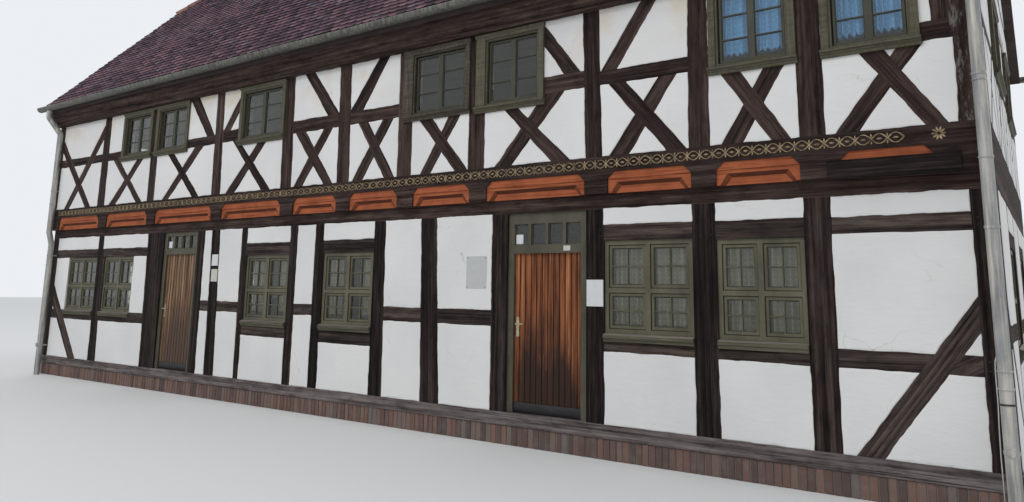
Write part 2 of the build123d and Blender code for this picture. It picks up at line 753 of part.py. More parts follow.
def downpipe(x, turn_back):
    """One pipe with its swan neck, its clips and a round cleaning hatch near the foot."""
    out = JETTY + PIPE_STAND_OFF
    neck = GUTTER_Z - GUTTER_R - PIPE_NECK
    points = [(x, -GUTTER_OUT, GUTTER_Z - GUTTER_R), (x, -GUTTER_OUT, neck), (x, -out, neck - PIPE_SLANT)]
    if turn_back:
        points += [(x, -out, PIPE_TURN_Z), (x, turn_back - out, PIPE_TURN_Z - PIPE_TURN_H)]
    path = FilletPolyline(*points, (x, turn_back - out, 0), radius=PIPE_BEND)
    pipe = sweep(Plane(origin=path @ 0, z_dir=path % 0) * Circle(PIPE_R), path=path)
    for z in PIPE_BRACKETS:
        above = z > JOIST_TOP
        middle = -out if above else turn_back - out
        wall = -JETTY if above else 0
        pipe += Pos(x, middle, z) * Cylinder(PIPE_R + PIPE_BAND, BRACKET_W)
        half = BRACKET_W / 2
        pipe += block(x - half / 2, x + half / 2, middle, wall, z - half, z + half)
    hatch = Plane(origin=(x, turn_back - out, HATCH_Z), z_dir=(0, -1, 0)) * Circle(HATCH_R)
    return pipe + extrude(hatch, amount=PIPE_R + HATCH_OUT)


def downpipes():
    return [downpipe(x, turn_back) for x, turn_back in PIPES]


# Windows

def moulding(plane, u0, u1, points):
    """A profile of (distance out from the wall, v), run from u0 to u1."""
    end = plane.origin + plane.x_dir * u1
    section = Plane(origin=end, x_dir=plane.z_dir, z_dir=plane.x_dir * -1)
    return extrude(section * poly(points), amount=u1 - u0, dir=plane.x_dir * -1)


def frame_ring(u0, u1, v0, v1, width):
    return rect(u0, u1, v0, v1) - rect(u0 + width, u1 - width, v0 + width, v1 - width)


def glazed_sash(plane, light, near):
    """One sash and its pane in a light of the frame."""
    u0, u1, v0, v1 = light
    sash = thicken(plane, frame_ring(u0, u1, v0, v1, SASH_W), near, near + SASH_D)
    pane = rect(u0 + SASH_W, u1 - SASH_W, v0 + SASH_W, v1 - SASH_W)
    middle = near + SASH_D / 2
    return sash, thicken(plane, pane, middle, middle + GLASS_T)


def ground_window(plane, opening):
    """Frame with mullion and transom, four sashes, their panes and a sill board."""
    u0, u1, v0, v1 = opening
    mid_u = (u0 + u1) / 2
    mid_v = v0 + (v1 - v0) * TRANSOM_AT
    columns = ((u0 + FRAME_W, mid_u - MULLION_W / 2), (mid_u + MULLION_W / 2, u1 - FRAME_W))
    rows = ((v0 + FRAME_W, mid_v - TRANSOM_H / 2), (mid_v + TRANSOM_H / 2, v1 - FRAME_W))
    lights = [(a, b, c, d) for a, b in columns for c, d in rows]
    flat = rect(*opening) - [rect(*light) for light in lights]
    frame = thicken(plane, flat, FRAME_SET_BACK, FRAME_SET_BACK + FRAME_D)
    sashes, panes = [], []
    for light in lights:
        sash, pane = glazed_sash(plane, light, FRAME_SET_BACK + SASH_SET_BACK)
        sashes += sash
        panes += pane
    low = v0 - SILL_BOARD_H
    board = moulding(plane, u0, u1, [
        (0, low), (SILL_BOARD_OUT * 0.55, low), (SILL_BOARD_OUT * 0.7, low + SILL_BOARD_H * 0.35),
        (SILL_BOARD_OUT, low + SILL_BOARD_H * 0.45), (SILL_BOARD_OUT, low + SILL_BOARD_H * 0.8),
        (0, v0)])
    return frame, sashes, panes, [board]


def casing_head(plane, u0, u1, v1):
    """The moulded board across a casing's head."""
    return moulding(plane, u0, u1, [
        (0, v1 - CASING_HEAD_H), (CASING_OUT, v1 - CASING_HEAD_H), (CASING_HEAD_OUT, v1 - CASING_HEAD_H / 2),
        (CASING_HEAD_OUT, v1), (0, v1)])


def upper_window(plane, casing, opening):
    """Planted casing with moulded sill and head, a frame, two sashes and their panes."""
    u0, u1, v0, v1 = casing
    a, b, c, d = opening
    ring_flat = rect(u0, u1, v0 + CASING_SILL_H / 2, v1) - rect(a, b, c, d)
    body = union(thicken(plane, ring_flat, -CASING_OUT, 0))
    lining = frame_ring(a, b, c, d, UPPER_FRAME_W)
    body += thicken(plane, lining, CASING_REVEAL - CASING_OUT, TIMBER / 2)
    top = v0 + CASING_SILL_H
    past = (u0 - CASING_SILL_PAST, u1 + CASING_SILL_PAST)
    body += moulding(plane, *past, [
        (0, v0), (CASING_OUT * 0.8, v0), (CASING_OUT, v0 + CASING_SILL_H * 0.3),
        (CASING_SILL_OUT * 0.75, v0 + CASING_SILL_H * 0.38),
        (CASING_SILL_OUT * 0.75, v0 + CASING_SILL_H * 0.55),
        (CASING_SILL_OUT, v0 + CASING_SILL_H * 0.62), (CASING_SILL_OUT, v0 + CASING_SILL_H * 0.85),
        (CASING_OUT, top), (0, top)])
    body += casing_head(plane, *past, v1)
    inner = (a + UPPER_FRAME_W, b - UPPER_FRAME_W, c + UPPER_FRAME_W, d - UPPER_FRAME_W)
    mid = (a + b) / 2
    sashes, panes = [], []
    for light in ((inner[0], mid, inner[2], inner[3]), (mid, inner[1], inner[2], inner[3])):
        sash, pane = glazed_sash(plane, light, SASH_SET_BACK)
        sashes += sash
        panes += pane
    return [body], sashes, panes


def all_windows():
    made = {key: [] for key in ("frames", "sills", "ground_sashes", "casings", "upper_sashes", "glass")}
    walls = [(wall_plane("front", 0, SILL_TOP), FRONT_WINDOWS)]
    for side in ("rear", "left", "right"):
        plane, width = even_plane(side, "ground")
        bays, post_w, ends, window_bays = even_windows(side)
        walls.append((plane, plain_ground(width, bays, post_w, ends, window_bays)[2]))
    for side in ("left", "right"):
        mid = DEPTH / 2 + JETTY
        half = ATTIC_WINDOW_W / 2
        top = ATTIC_WINDOW_SILL + ATTIC_WINDOW_H
        attic = (mid - half, mid + half, ATTIC_WINDOW_SILL, top)
        walls.append((wall_plane(side, JETTY, ATTIC_FLOOR_TOP), [attic]))
    for plane, openings in walls:
        for opening in openings:
            frame, sashes, panes, boards = ground_window(plane, opening)
            made["frames"] += frame
            made["ground_sashes"] += sashes
            made["glass"] += panes
            made["sills"] += boards
    front = wall_plane("front", JETTY, UPPER_SILL_TOP)
    uppers = [(front, UPPER_CASINGS, UPPER_POSTS)]
    for side in ("rear", "left", "right"):
        plane, width = even_plane(side, "upper")
        bays, post_w, ends, window_bays = even_windows(side)
        casings = plain_upper(width, bays, post_w, ends, window_bays)[1]
        uppers.append((plane, casings, even_posts(width, bays, post_w, ends)))
    for plane, casings, posts in uppers:
        for casing in casings:
            body, sashes, panes = upper_window(plane, casing, upper_opening(casing, posts))
            made["casings"] += body
            made["upper_sashes"] += sashes
            made["glass"] += panes
    # The first two casings share one post, and their head board runs on over it
    first, second = UPPER_CASINGS[0:2]
    made["casings"].append(
        casing_head(front, first[1] + CASING_SILL_PAST, second[0] - CASING_SILL_PAST, CASING_TOP))
    return made


# Jetty

def joist_spans():
    """Left and right edge of each joist head, in the gaps between the fillets."""
    edges = [0] + [x for fillet in FILLETS for x in fillet] + [LENGTH]
    return [(edges[i], edges[i + 1]) for i in range(0, len(edges), 2)]


def floor_joists():
    """Joists across the house; each head flares at the top to meet the fillets' raked ends."""
    made = []
    front = Plane(origin=(0, -JETTY, 0), x_dir=(1, 0, 0), z_dir=(0, -1, 0))
    band = JOIST_TOP - FILLET_BAND_H
    for x0, x1 in joist_spans():
        beam = block(x0, x1, -JETTY, DEPTH + JETTY, PLATE_TOP, JOIST_TOP)
        flare_left = 0 if x0 == 0 else FILLET_BAND_H
        flare_right = 0 if x1 == LENGTH else FILLET_BAND_H
        flat = poly([(x0, band), (x1, band), (x1 + flare_right, JOIST_TOP), (x0 - flare_left, JOIST_TOP)])
        head = extrude(front * flat, amount=JETTY + TIMBER, dir=(0, 1, 0))
        rear_head = Pos(0, DEPTH + JETTY - TIMBER, 0) * head
        made.append(beam + head + rear_head)
    return made


def keel_groove(face, x0, x1):
    """The boat-shaped groove of a fillet: chamfered at its top and its raked ends, open below."""
    foot = PLATE_TOP - KEEL_CHAMFER
    slant = KEEL_SLANT * (KEEL_TOP + KEEL_CHAMFER) / KEEL_TOP

    def outline(depth, inset):
        plane = Plane(origin=(0, depth, 0), x_dir=(1, 0, 0), z_dir=(0, -1, 0))
        end = KEEL_END + inset - (slant - KEEL_SLANT)
        left, right = x0 + end, x1 - end
        top = PLATE_TOP + KEEL_TOP - inset
        return plane * poly([(left, foot), (right, foot), (right - slant, top), (left + slant, top)])

    return loft([outline(face, 0), outline(face + KEEL_DEPTH, KEEL_CHAMFER)])


def jetty_fillets():
    """Keel-shaped fillets that close the jetty between the joist heads."""
    made = []
    top_face = FILLET_SET_BACK - JETTY
    low_face = top_face + FILLET_STEP
    band = JOIST_TOP - FILLET_BAND_H
    for x0, x1 in FILLETS:
        top = poly([(x0, band), (x1, band), (x1 - FILLET_BAND_H, JOIST_TOP), (x0 + FILLET_BAND_H, JOIST_TOP)])
        plane = Plane(origin=(0, top_face, 0), x_dir=(1, 0, 0), z_dir=(0, -1, 0))
        body = extrude(plane * top, amount=TIMBER - top_face, dir=(0, 1, 0))
        body += block(x0, x1, low_face, TIMBER, PLATE_TOP, band)
        made.append(body - keel_groove(low_face, x0, x1))
    rear = mirror(Compound(made), about=Plane(origin=(0, DEPTH / 2, 0), x_dir=(1, 0, 0), z_dir=(0, 1, 0)))
    return made + [rear]


def cover_board():
    """A plain board nailed over the lower part of the last fillet, on the joist heads beside it."""
    low, high = PLATE_TOP - COVER_BOARD_LOW, JOIST_TOP - FILLET_BAND_H
    return block(*COVER_BOARD, -JETTY - COVER_BOARD_T, -JETTY, low, high)


# Doors

def door_sizes(side):
    """Edges of the opening, the leaf and the hinge line of one door."""
    left, right = door_opening(side)
    leaf = (left + JAMB_W + DOOR_GAP, right - JAMB_W - DOOR_GAP)
    outer = JAMB_SET_BACK + STOP_D + DOOR_GAP
    hinge = (right - JAMB_W - DOOR_GAP / 2, outer + LEAF_T + HINGE_R + 2)
    return left, right, leaf, outer, hinge


def door_frame(side):
    """Two rebated jambs, then the transom with the light bars and the head."""
    left, right, leaf, outer, hinge = door_sizes(side)
    inner = outer + LEAF_T
    stop = JAMB_SET_BACK + STOP_D
    lap = DOOR_GAP + STOP_LAP
    jambs = []
    for edge, way in ((left, 1), (right, -1)):
        rebate = edge + way * JAMB_W
        flat = poly([
            (edge, JAMB_SET_BACK), (rebate + way * lap, JAMB_SET_BACK), (rebate + way * lap, stop),
            (rebate, stop), (rebate, inner), (edge, inner)])
        jambs.append(Pos(0, 0, SILL_TOP) * extrude(flat, amount=GROUND_STOREY_H, dir=(0, 0, 1)))
    a, b = left + JAMB_W, right - JAMB_W
    leaf_h, head_h = DOORS[side][2:4]
    low = DOOR_GAP + leaf_h + DOOR_GAP
    plane = wall_plane("front", 0, SILL_TOP)
    high = low + TRANSOM_RAIL_H
    top = GROUND_STOREY_H - head_h
    pitch = (b - a - 2 * lap + LIGHT_BAR_W) / LIGHTS
    panes = [
        rect(a + lap + i * pitch, a + lap + i * pitch + pitch - LIGHT_BAR_W, high, top)
        for i in range(LIGHTS)
    ]
    flat = rect(a, b, low, GROUND_STOREY_H) - panes
    ladder = union(thicken(plane, flat, stop, inner))
    front = rect(a + lap, b - lap, low - STOP_LAP, GROUND_STOREY_H) - panes
    ladder += thicken(plane, front, JAMB_SET_BACK, stop)
    glass = [thicken(plane, pane, stop, stop + GLASS_T)[0] for pane in panes]
    return jambs, [ladder], glass


def hinge_half(side, moving):
    """The knuckles and plates of three hinges: on the leaf if moving, or on the jamb."""
    left, right, leaf, outer, hinge = door_sizes(side)
    x, y = hinge
    face = outer + LEAF_T
    made = []
    for height in HINGE_HEIGHTS:
        z = SILL_TOP + height
        if moving:
            low, high = z + KNUCKLE_H + PIN_CLEARANCE, z + 2 * KNUCKLE_H
            plate = block(x - HINGE_LEAF_W, x, face, face + HINGE_LEAF_T, low, high)
            barrel = Pos(x, y, (low + high) / 2) * Cylinder(HINGE_R, high - low)
            bore = Pos(x, y, (low + high) / 2) * Cylinder(PIN_R + PIN_CLEARANCE, high - low + 2)
            made.append(plate + barrel - bore)
        else:
            plate = block(x, x + HINGE_LEAF_W, face, face + HINGE_LEAF_T, z, z + KNUCKLE_H)
            barrel = Pos(x, y, z + KNUCKLE_H / 2) * Cylinder(HINGE_R, KNUCKLE_H)
            pin = Pos(x, y, z + KNUCKLE_H) * Cylinder(PIN_R, 2 * KNUCKLE_H - 4)
            made.append(plate + barrel + pin)
    return made


def door_leaf(side):
    """The boarded leaf with its weatherboard, hung inside the frame's rebate."""
    left, right, leaf, outer, hinge = door_sizes(side)
    low = SILL_TOP + DOOR_GAP
    body = block(leaf[0], leaf[1], outer, outer + LEAF_T, low, low + DOORS[side][2])
    inset = DOOR_GAP + STOP_LAP
    nose = WEATHERBOARD_OUT - outer
    body += profile_along_x(
        [(-outer, low), (nose, low), (nose, low + WEATHERBOARD_H * 0.6), (-outer, low + WEATHERBOARD_H)],
        leaf[0] + inset, leaf[1] - inset)
    return [body]


def lever_handle(side):
    """A long plate with a lever on both faces of the leaf."""
    left, right, leaf, outer, hinge = door_sizes(side)
    x = leaf[0] + HANDLE_EDGE
    z = SILL_TOP + HANDLE_Z
    made = []
    for face, way in ((outer, -1), (outer + LEAF_T, 1)):
        side_plane = Plane(origin=(x, face, z), x_dir=(1, 0, 0), z_dir=(0, way, 0))
        plate = RectangleRounded(HANDLE_PLATE_W, HANDLE_PLATE_H, HANDLE_PLATE_R)
        low = way * 0.15 * HANDLE_PLATE_H
        handle = extrude(side_plane * Pos(0, low) * plate, amount=HANDLE_PLATE_T)
        handle += extrude(side_plane * Circle(LEVER_R), amount=HANDLE_OUT)
        grip = Plane(origin=(x, face + way * (HANDLE_OUT - LEVER_R), z), z_dir=(1, 0, 0))
        handle += extrude(grip * Circle(LEVER_R), amount=LEVER_LENGTH)
        made.append(handle)
    return made


# Nodes

def write_walls():
    ground = front_ground()
    upper = front_upper()
    rear = [even_wall("rear", storey) for storey in ("ground", "upper")]
    gables = [both_gables(lambda side, s=storey: even_wall(side, s)) for storey in ("ground", "upper")]
    attic = both_gables(attic_gable)
    write("front_posts", ground["posts"])
    write("front_rails", ground["rails"])
    write("ground_corner_braces", ground["braces"] + rear[0]["braces"] + gables[0]["braces"])
    write("front_panels", ground["panels"])
    write("front_upper_posts", upper["posts"])
    write("front_upper_rails", upper["rails"])
    write("front_leaning_braces", upper["braces"])
    write("front_upper_panels", upper["panels"])
    write("falling_cross_braces", upper["falling"] + rear[1]["falling"] + gables[1]["falling"])
    write("rising_cross_braces", upper["rising"] + rear[1]["rising"] + gables[1]["rising"])
    write("rear_posts", rear[0]["posts"] + rear[1]["posts"])
    write("rear_rails", rear[0]["rails"] + rear[1]["rails"])
    write("rear_panels", rear[0]["panels"] + rear[1]["panels"])
    write("gable_posts", gables[0]["posts"] + gables[1]["posts"] + attic["posts"])
    write("gable_rails", gables[0]["rails"] + gables[1]["rails"] + attic["rails"])
    write("gable_panels", gables[0]["panels"] + gables[1]["panels"] + attic["panels"])


def write_base_and_floors():
    write("plinth", [ring(-PLINTH_SET_BACK, PLINTH_W, 0, PLINTH_H)])
    write("sill_beams", [ring(SILL_LEDGE, TIMBER + SILL_LEDGE, PLINTH_H, SILL_TOP)])
    write("ground_floor", [block(TIMBER, LENGTH - TIMBER, TIMBER, DEPTH - TIMBER, PLINTH_H, SILL_TOP)])
    write("wall_plates", [ring(0, TIMBER, PLATE_BOTTOM, PLATE_TOP)])
    write("floor_joists", floor_joists())
    write("jetty_fillets", jetty_fillets())
    write("jetty_cover_board", [cover_board()])
    write("upper_sills", [ring(0, TIMBER, JOIST_TOP, UPPER_SILL_TOP, JETTY)])
    write("upper_floor", [
        block(TIMBER, LENGTH - TIMBER, TIMBER - JETTY, DEPTH + JETTY - TIMBER, JOIST_TOP, UPPER_SILL_TOP)])
    write("eave_plates", [ring(0, TIMBER, EAVE_PLATE_BOTTOM, EAVE_PLATE_TOP, JETTY)])
    write("attic_floor", [block(0, LENGTH, -JETTY, DEPTH + JETTY, EAVE_PLATE_TOP, ATTIC_FLOOR_TOP)])
    write("sole_plates", sole_plates())
    write("eave_cornices", eave_cornices())


def write_roof():
    front, rear, hips = roof_slabs()
    write("roof_front", [front])
    write("roof_rear", [rear])
    write("half_hips", hips)
    write("ridge_tiles", [ridge_tiles()])
    write("gutters", gutters())
    write("downpipes", downpipes())


def write_windows():
    made = all_windows()
    write("window_frames", made["frames"])
    write("window_sills", made["sills"])
    write("ground_sashes", made["ground_sashes"])
    write("upper_casings", made["casings"])
    write("upper_sashes", made["upper_sashes"])
    write("window_glass", made["glass"])


def write_doors():
    frames = [door_frame(side) for side in DOORS]
    write("door_jambs", frames[0][0] + frames[1][0])
    write("door_transoms", frames[0][1] + frames[1][1])
    write("door_top_glass", frames[0][2] + frames[1][2])
    write("door_hinge_pins", hinge_half("left", False) + hinge_half("right", False))
    for side in DOORS:
        write(f"{side}_door_leaf", door_leaf(side))
        write(f"{side}_door_fittings", lever_handle(side) + hinge_half(side, True))
        left, right, leaf, outer, hinge = door_sizes(side)
        print(side, "door hinge at", hinge[0] - LENGTH / 2, hinge[1] - DEPTH / 2)


write_base_and_floors()
write_walls()
write_roof()
write_windows()
write_doors()
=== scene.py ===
import bmesh
import bpy
import numpy as np
from mathutils import Matrix, Vector
from mathutils.geometry import tessellate_polygon


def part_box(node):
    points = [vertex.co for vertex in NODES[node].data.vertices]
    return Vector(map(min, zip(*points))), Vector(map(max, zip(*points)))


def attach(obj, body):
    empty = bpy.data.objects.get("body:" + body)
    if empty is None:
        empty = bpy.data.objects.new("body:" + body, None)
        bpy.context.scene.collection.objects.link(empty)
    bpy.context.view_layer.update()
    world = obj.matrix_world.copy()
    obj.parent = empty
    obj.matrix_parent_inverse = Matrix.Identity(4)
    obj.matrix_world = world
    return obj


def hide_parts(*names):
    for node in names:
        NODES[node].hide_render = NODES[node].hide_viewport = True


# A half timbered house dressed for looking at: tiles, bricks, hewn oak, limewashed plaster,
# glazing bars, boarded doors and gilt ornament. Everything is in metres, in the frame of the
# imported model: x to the right along the street front, y into the house, z up from the ground.

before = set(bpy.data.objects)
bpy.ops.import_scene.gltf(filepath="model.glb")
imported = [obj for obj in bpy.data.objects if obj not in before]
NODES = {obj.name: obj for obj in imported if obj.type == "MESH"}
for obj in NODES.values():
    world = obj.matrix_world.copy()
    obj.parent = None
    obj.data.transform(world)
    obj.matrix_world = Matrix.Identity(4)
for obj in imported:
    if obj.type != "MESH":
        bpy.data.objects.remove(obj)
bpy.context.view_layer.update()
AXES = np.eye(3)
UP = AXES[2]
FRONT, REAR, LEFT, RIGHT = (0, -1, 0), (0, 1, 0), (-1, 0, 0), (1, 0, 0)


def node_box(name):
    """Lowest and highest corner of a node."""
    low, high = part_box(name)
    return np.array(low), np.array(high)


# Driving sizes read from the frame. Places that are given along the front count from the left
# corner, and their heights from the top of the sill beam.
SILL_TOP = node_box("sill_beams")[1][2]
LEFT_CORNER, GROUND_FACE = node_box("wall_plates")[0][:2]
PLINTH_LOW, PLINTH_HIGH = node_box("plinth")
UPPER_LOW, UPPER_HIGH = node_box("upper_sills")
UPPER_FACE = UPPER_LOW[1]
EAVE_LOW, EAVE_HIGH = node_box("eave_plates")
ROOF_LOW, ROOF_HIGH = node_box("roof_front")
HIP_HIGH = node_box("half_hips")[1]
DOOR_MIDDLE = {side: float(sum(node_box(f"{side}_door_leaf"))[0]) / 2 for side in ("left", "right")}
PITCH = np.radians(47)
HIP_PITCH = np.radians(43)

# The camera: where the photograph's street lines and upright lines meet, in its pixels, and the eye
# in metres from the left corner
PHOTO_W, PHOTO_H = 1024, 502
OPTICAL_CENTRE = np.array([512.0, 163.0])
FOCAL_PX = 769.0
STREET_VANISH = np.array([-601.0, 274.6])
UPRIGHT_VANISH = np.array([582.0, -4400.0])
EYE = np.array([18.455, -8.3556, 1.5132])
SENSOR_MM = 36.0
FAR_CLIP = 400


# Meshes

# A direction that no path of a round bar runs along
ODD_WAY = np.array([0.31, 0.17, 0.93])


def make_piece(name, points, faces, finish, body="root", slot=None, smooth=False):
    """Put computed points and faces into a mesh object that rides on a body."""
    mesh = bpy.data.meshes.new(name)
    points = np.asarray(points, dtype=np.float32).reshape(-1, 3)
    if isinstance(faces, np.ndarray):
        count, corners = faces.shape
        mesh.vertices.add(len(points))
        mesh.vertices.foreach_set("co", points.ravel())
        mesh.loops.add(count * corners)
        mesh.loops.foreach_set("vertex_index", faces.astype(np.int32).ravel())
        mesh.polygons.add(count)
        mesh.polygons.foreach_set("loop_start", np.arange(count, dtype=np.int32) * corners)
        mesh.polygons.foreach_set("loop_total", np.full(count, corners, dtype=np.int32))
    else:
        mesh.from_pydata(points.tolist(), [], faces)
    mesh.update(calc_edges=True)
    mesh.validate()
    mesh.polygons.foreach_set("use_smooth", np.full(len(mesh.polygons), smooth))
    piece = bpy.data.objects.new(name, mesh)
    bpy.context.scene.collection.objects.link(piece)
    mesh.materials.append(FINISHES[finish])
    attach(piece, body)
    return piece


def point_out(piece):
    """Turn every face of closed shells outwards."""
    bm = bmesh.new()
    bm.from_mesh(piece.data)
    bmesh.ops.recalc_face_normals(bm, faces=bm.faces)
    bm.to_mesh(piece.data)
    bm.free()
    return piece


def add_mark(mesh, name, values):
    """A number at every point of a mesh, for its material to read."""
    mark = mesh.attributes.new(name, "FLOAT", "POINT")
    mark.data.foreach_set("value", np.asarray(values).astype(np.float32))


def grid_faces(rows, columns, round_columns=False, round_rows=False):
    """Four-cornered faces of a grid of rows by columns of points; either way may close in a ring."""
    down = rows if round_rows else rows - 1
    across = columns if round_columns else columns - 1
    r, c = np.meshgrid(np.arange(down), np.arange(across), indexing="ij")
    r, c = r.ravel(), c.ravel()
    below, beside = (r + 1) % rows, (c + 1) % columns
    here, ahead = r * columns, below * columns
    return np.stack([here + c, here + beside, ahead + beside, ahead + c], axis=1)


def repeated(faces, count, each):
    """The faces of one form for a count of copies, each with as many points of its own."""
    shift = np.arange(count)[:, None, None] * each
    return (faces[None] + shift).reshape(-1, faces.shape[1])


def copies(points, faces, turns, places):
    """The same small form at many places: every point is turned by a copy's matrix, then moved."""
    moved = np.einsum("kij,pj->kpi", turns, points) + places[:, None, :]
    return moved.reshape(-1, 3), repeated(faces, len(places), len(points))


def joined(parts):
    """One set of points and faces from several sets with faces of the same corner count."""
    points, faces, start = [], [], 0
    for some_points, some_faces in parts:
        points.append(some_points)
        faces.append(some_faces + start)
        start += len(some_points)
    return np.concatenate(points), np.concatenate(faces)


def billet(size, bevel):
    """A closed bar about the origin: a rectangle with cut corners, swept along z, smaller at both ends."""
    x, y, z = half = np.array(size) / 2
    ring = np.array([(x, y - bevel), (x - bevel, y), (bevel - x, y), (-x, y - bevel),
                     (-x, bevel - y), (bevel - x, -y), (x - bevel, -y), (x, bevel - y)])
    shrink = 1 - bevel / half[:2]
    layers = [(0, -z), (shrink, -z), (1, bevel - z), (1, z - bevel), (shrink, z), (0, z)]
    rows = [np.column_stack([ring * scale, np.full(8, level)]) for scale, level in layers]
    return np.concatenate(rows), grid_faces(len(layers), 8, True)


def sweep(path, radius, sides=10, taper=None):
    """A closed round bar along a path: a circle carried in the plane across the path at every point."""
    path = np.asarray(path, dtype=float)
    along = np.gradient(path, axis=0)
    along /= np.linalg.norm(along, axis=1)[:, None]
    aside = np.cross(along, ODD_WAY)
    aside /= np.linalg.norm(aside, axis=1)[:, None]
    over = np.cross(along, aside)
    angle = np.linspace(0, 2 * np.pi, sides, endpoint=False)
    wide = np.full(len(path), radius) if taper is None else radius * np.asarray(taper)
    ring = aside[:, None] * np.cos(angle)[None, :, None] + over[:, None] * np.sin(angle)[None, :, None]
    skin = path[:, None] + ring * wide[:, None, None]
    start, end = np.repeat(path[:1], sides, axis=0), np.repeat(path[-1:], sides, axis=0)
    points = np.concatenate([start, skin.reshape(-1, 3), end])
    return points, grid_faces(len(path) + 2, sides, True)


def wobble(points, wave, seed):
    """A smooth uneven value from -1 to 1 at every point: five sine waves in different directions."""
    rng = np.random.default_rng(seed)
    total = np.zeros(len(points))
    for _ in range(5):
        way = rng.normal(size=3)
        way *= 2 * np.pi / (wave * rng.uniform(0.35, 1.6) * np.linalg.norm(way))
        total += np.sin(points @ way + rng.uniform(0, 6.3)) * 0.45
    return np.clip(total, -1, 1)


# Reading the frame

FACE_REACH = 0.13


def wall_outlines(name, out):
    """Outlines of a node's faces that look out of a wall, as lists of points seen anticlockwise.

    Loose triangles are joined and made whole faces first. A face that is FACE_REACH or more behind the
    foremost one is left out.
    """
    bm = bmesh.new()
    bm.from_mesh(NODES[name].data)
    bmesh.ops.remove_doubles(bm, verts=bm.verts, dist=1e-5)
    bmesh.ops.dissolve_limit(bm, angle_limit=0.01, verts=bm.verts, edges=bm.edges)
    found = [np.array([vert.co for vert in face.verts]) for face in bm.faces
             if face.normal.dot(Vector(out)) > 0.999 and len(face.verts) > 2]
    bm.free()
    reaches = [float((points @ np.array(out)).max()) for points in found]
    return [points for points, reach in zip(found, reaches) if max(reaches) - reach < FACE_REACH]


def solids(name):
    """A node's points, and for each the number of the solid that it belongs to.

    Each place starts with a number of its own, and the lowest number spreads along the mesh's edges until
    none changes.
    """
    mesh = NODES[name].data
    points = np.empty(len(mesh.vertices) * 3, dtype=np.float32)
    mesh.vertices.foreach_get("co", points)
    points = points.reshape(-1, 3)
    edges = np.empty(len(mesh.edges) * 2, dtype=np.int32)
    mesh.edges.foreach_get("vertices", edges)
    same = np.unique(np.round(points, 4), axis=0, return_inverse=True)[1].ravel()
    pairs = same[edges].reshape(-1, 2)
    label, before = np.arange(same.max() + 1), None
    while before is None or (label != before).any():
        before = label.copy()
        low = before[pairs].min(axis=1)
        np.minimum.at(label, pairs[:, 0], low)
        np.minimum.at(label, pairs[:, 1], low)
        label = label[label]
    return points, label[same]


def solid_boxes(name):
    """Lowest and highest corner of every separate solid in a node."""
    points, solid = solids(name)
    groups = [points[solid == one].astype(float) for one in np.unique(solid)]
    return [(group.min(axis=0), group.max(axis=0)) for group in groups]


def wall_axes(low, high):
    """For a box in a wall: the axis through the wall, the level axis along it, and the way out, -1 or 1."""
    thin = int(np.argmin((high - low)[:2]))
    return thin, 1 - thin, -1 if low[thin] + high[thin] < 0 else 1


# Materials

WHITE = (1, 1, 1)


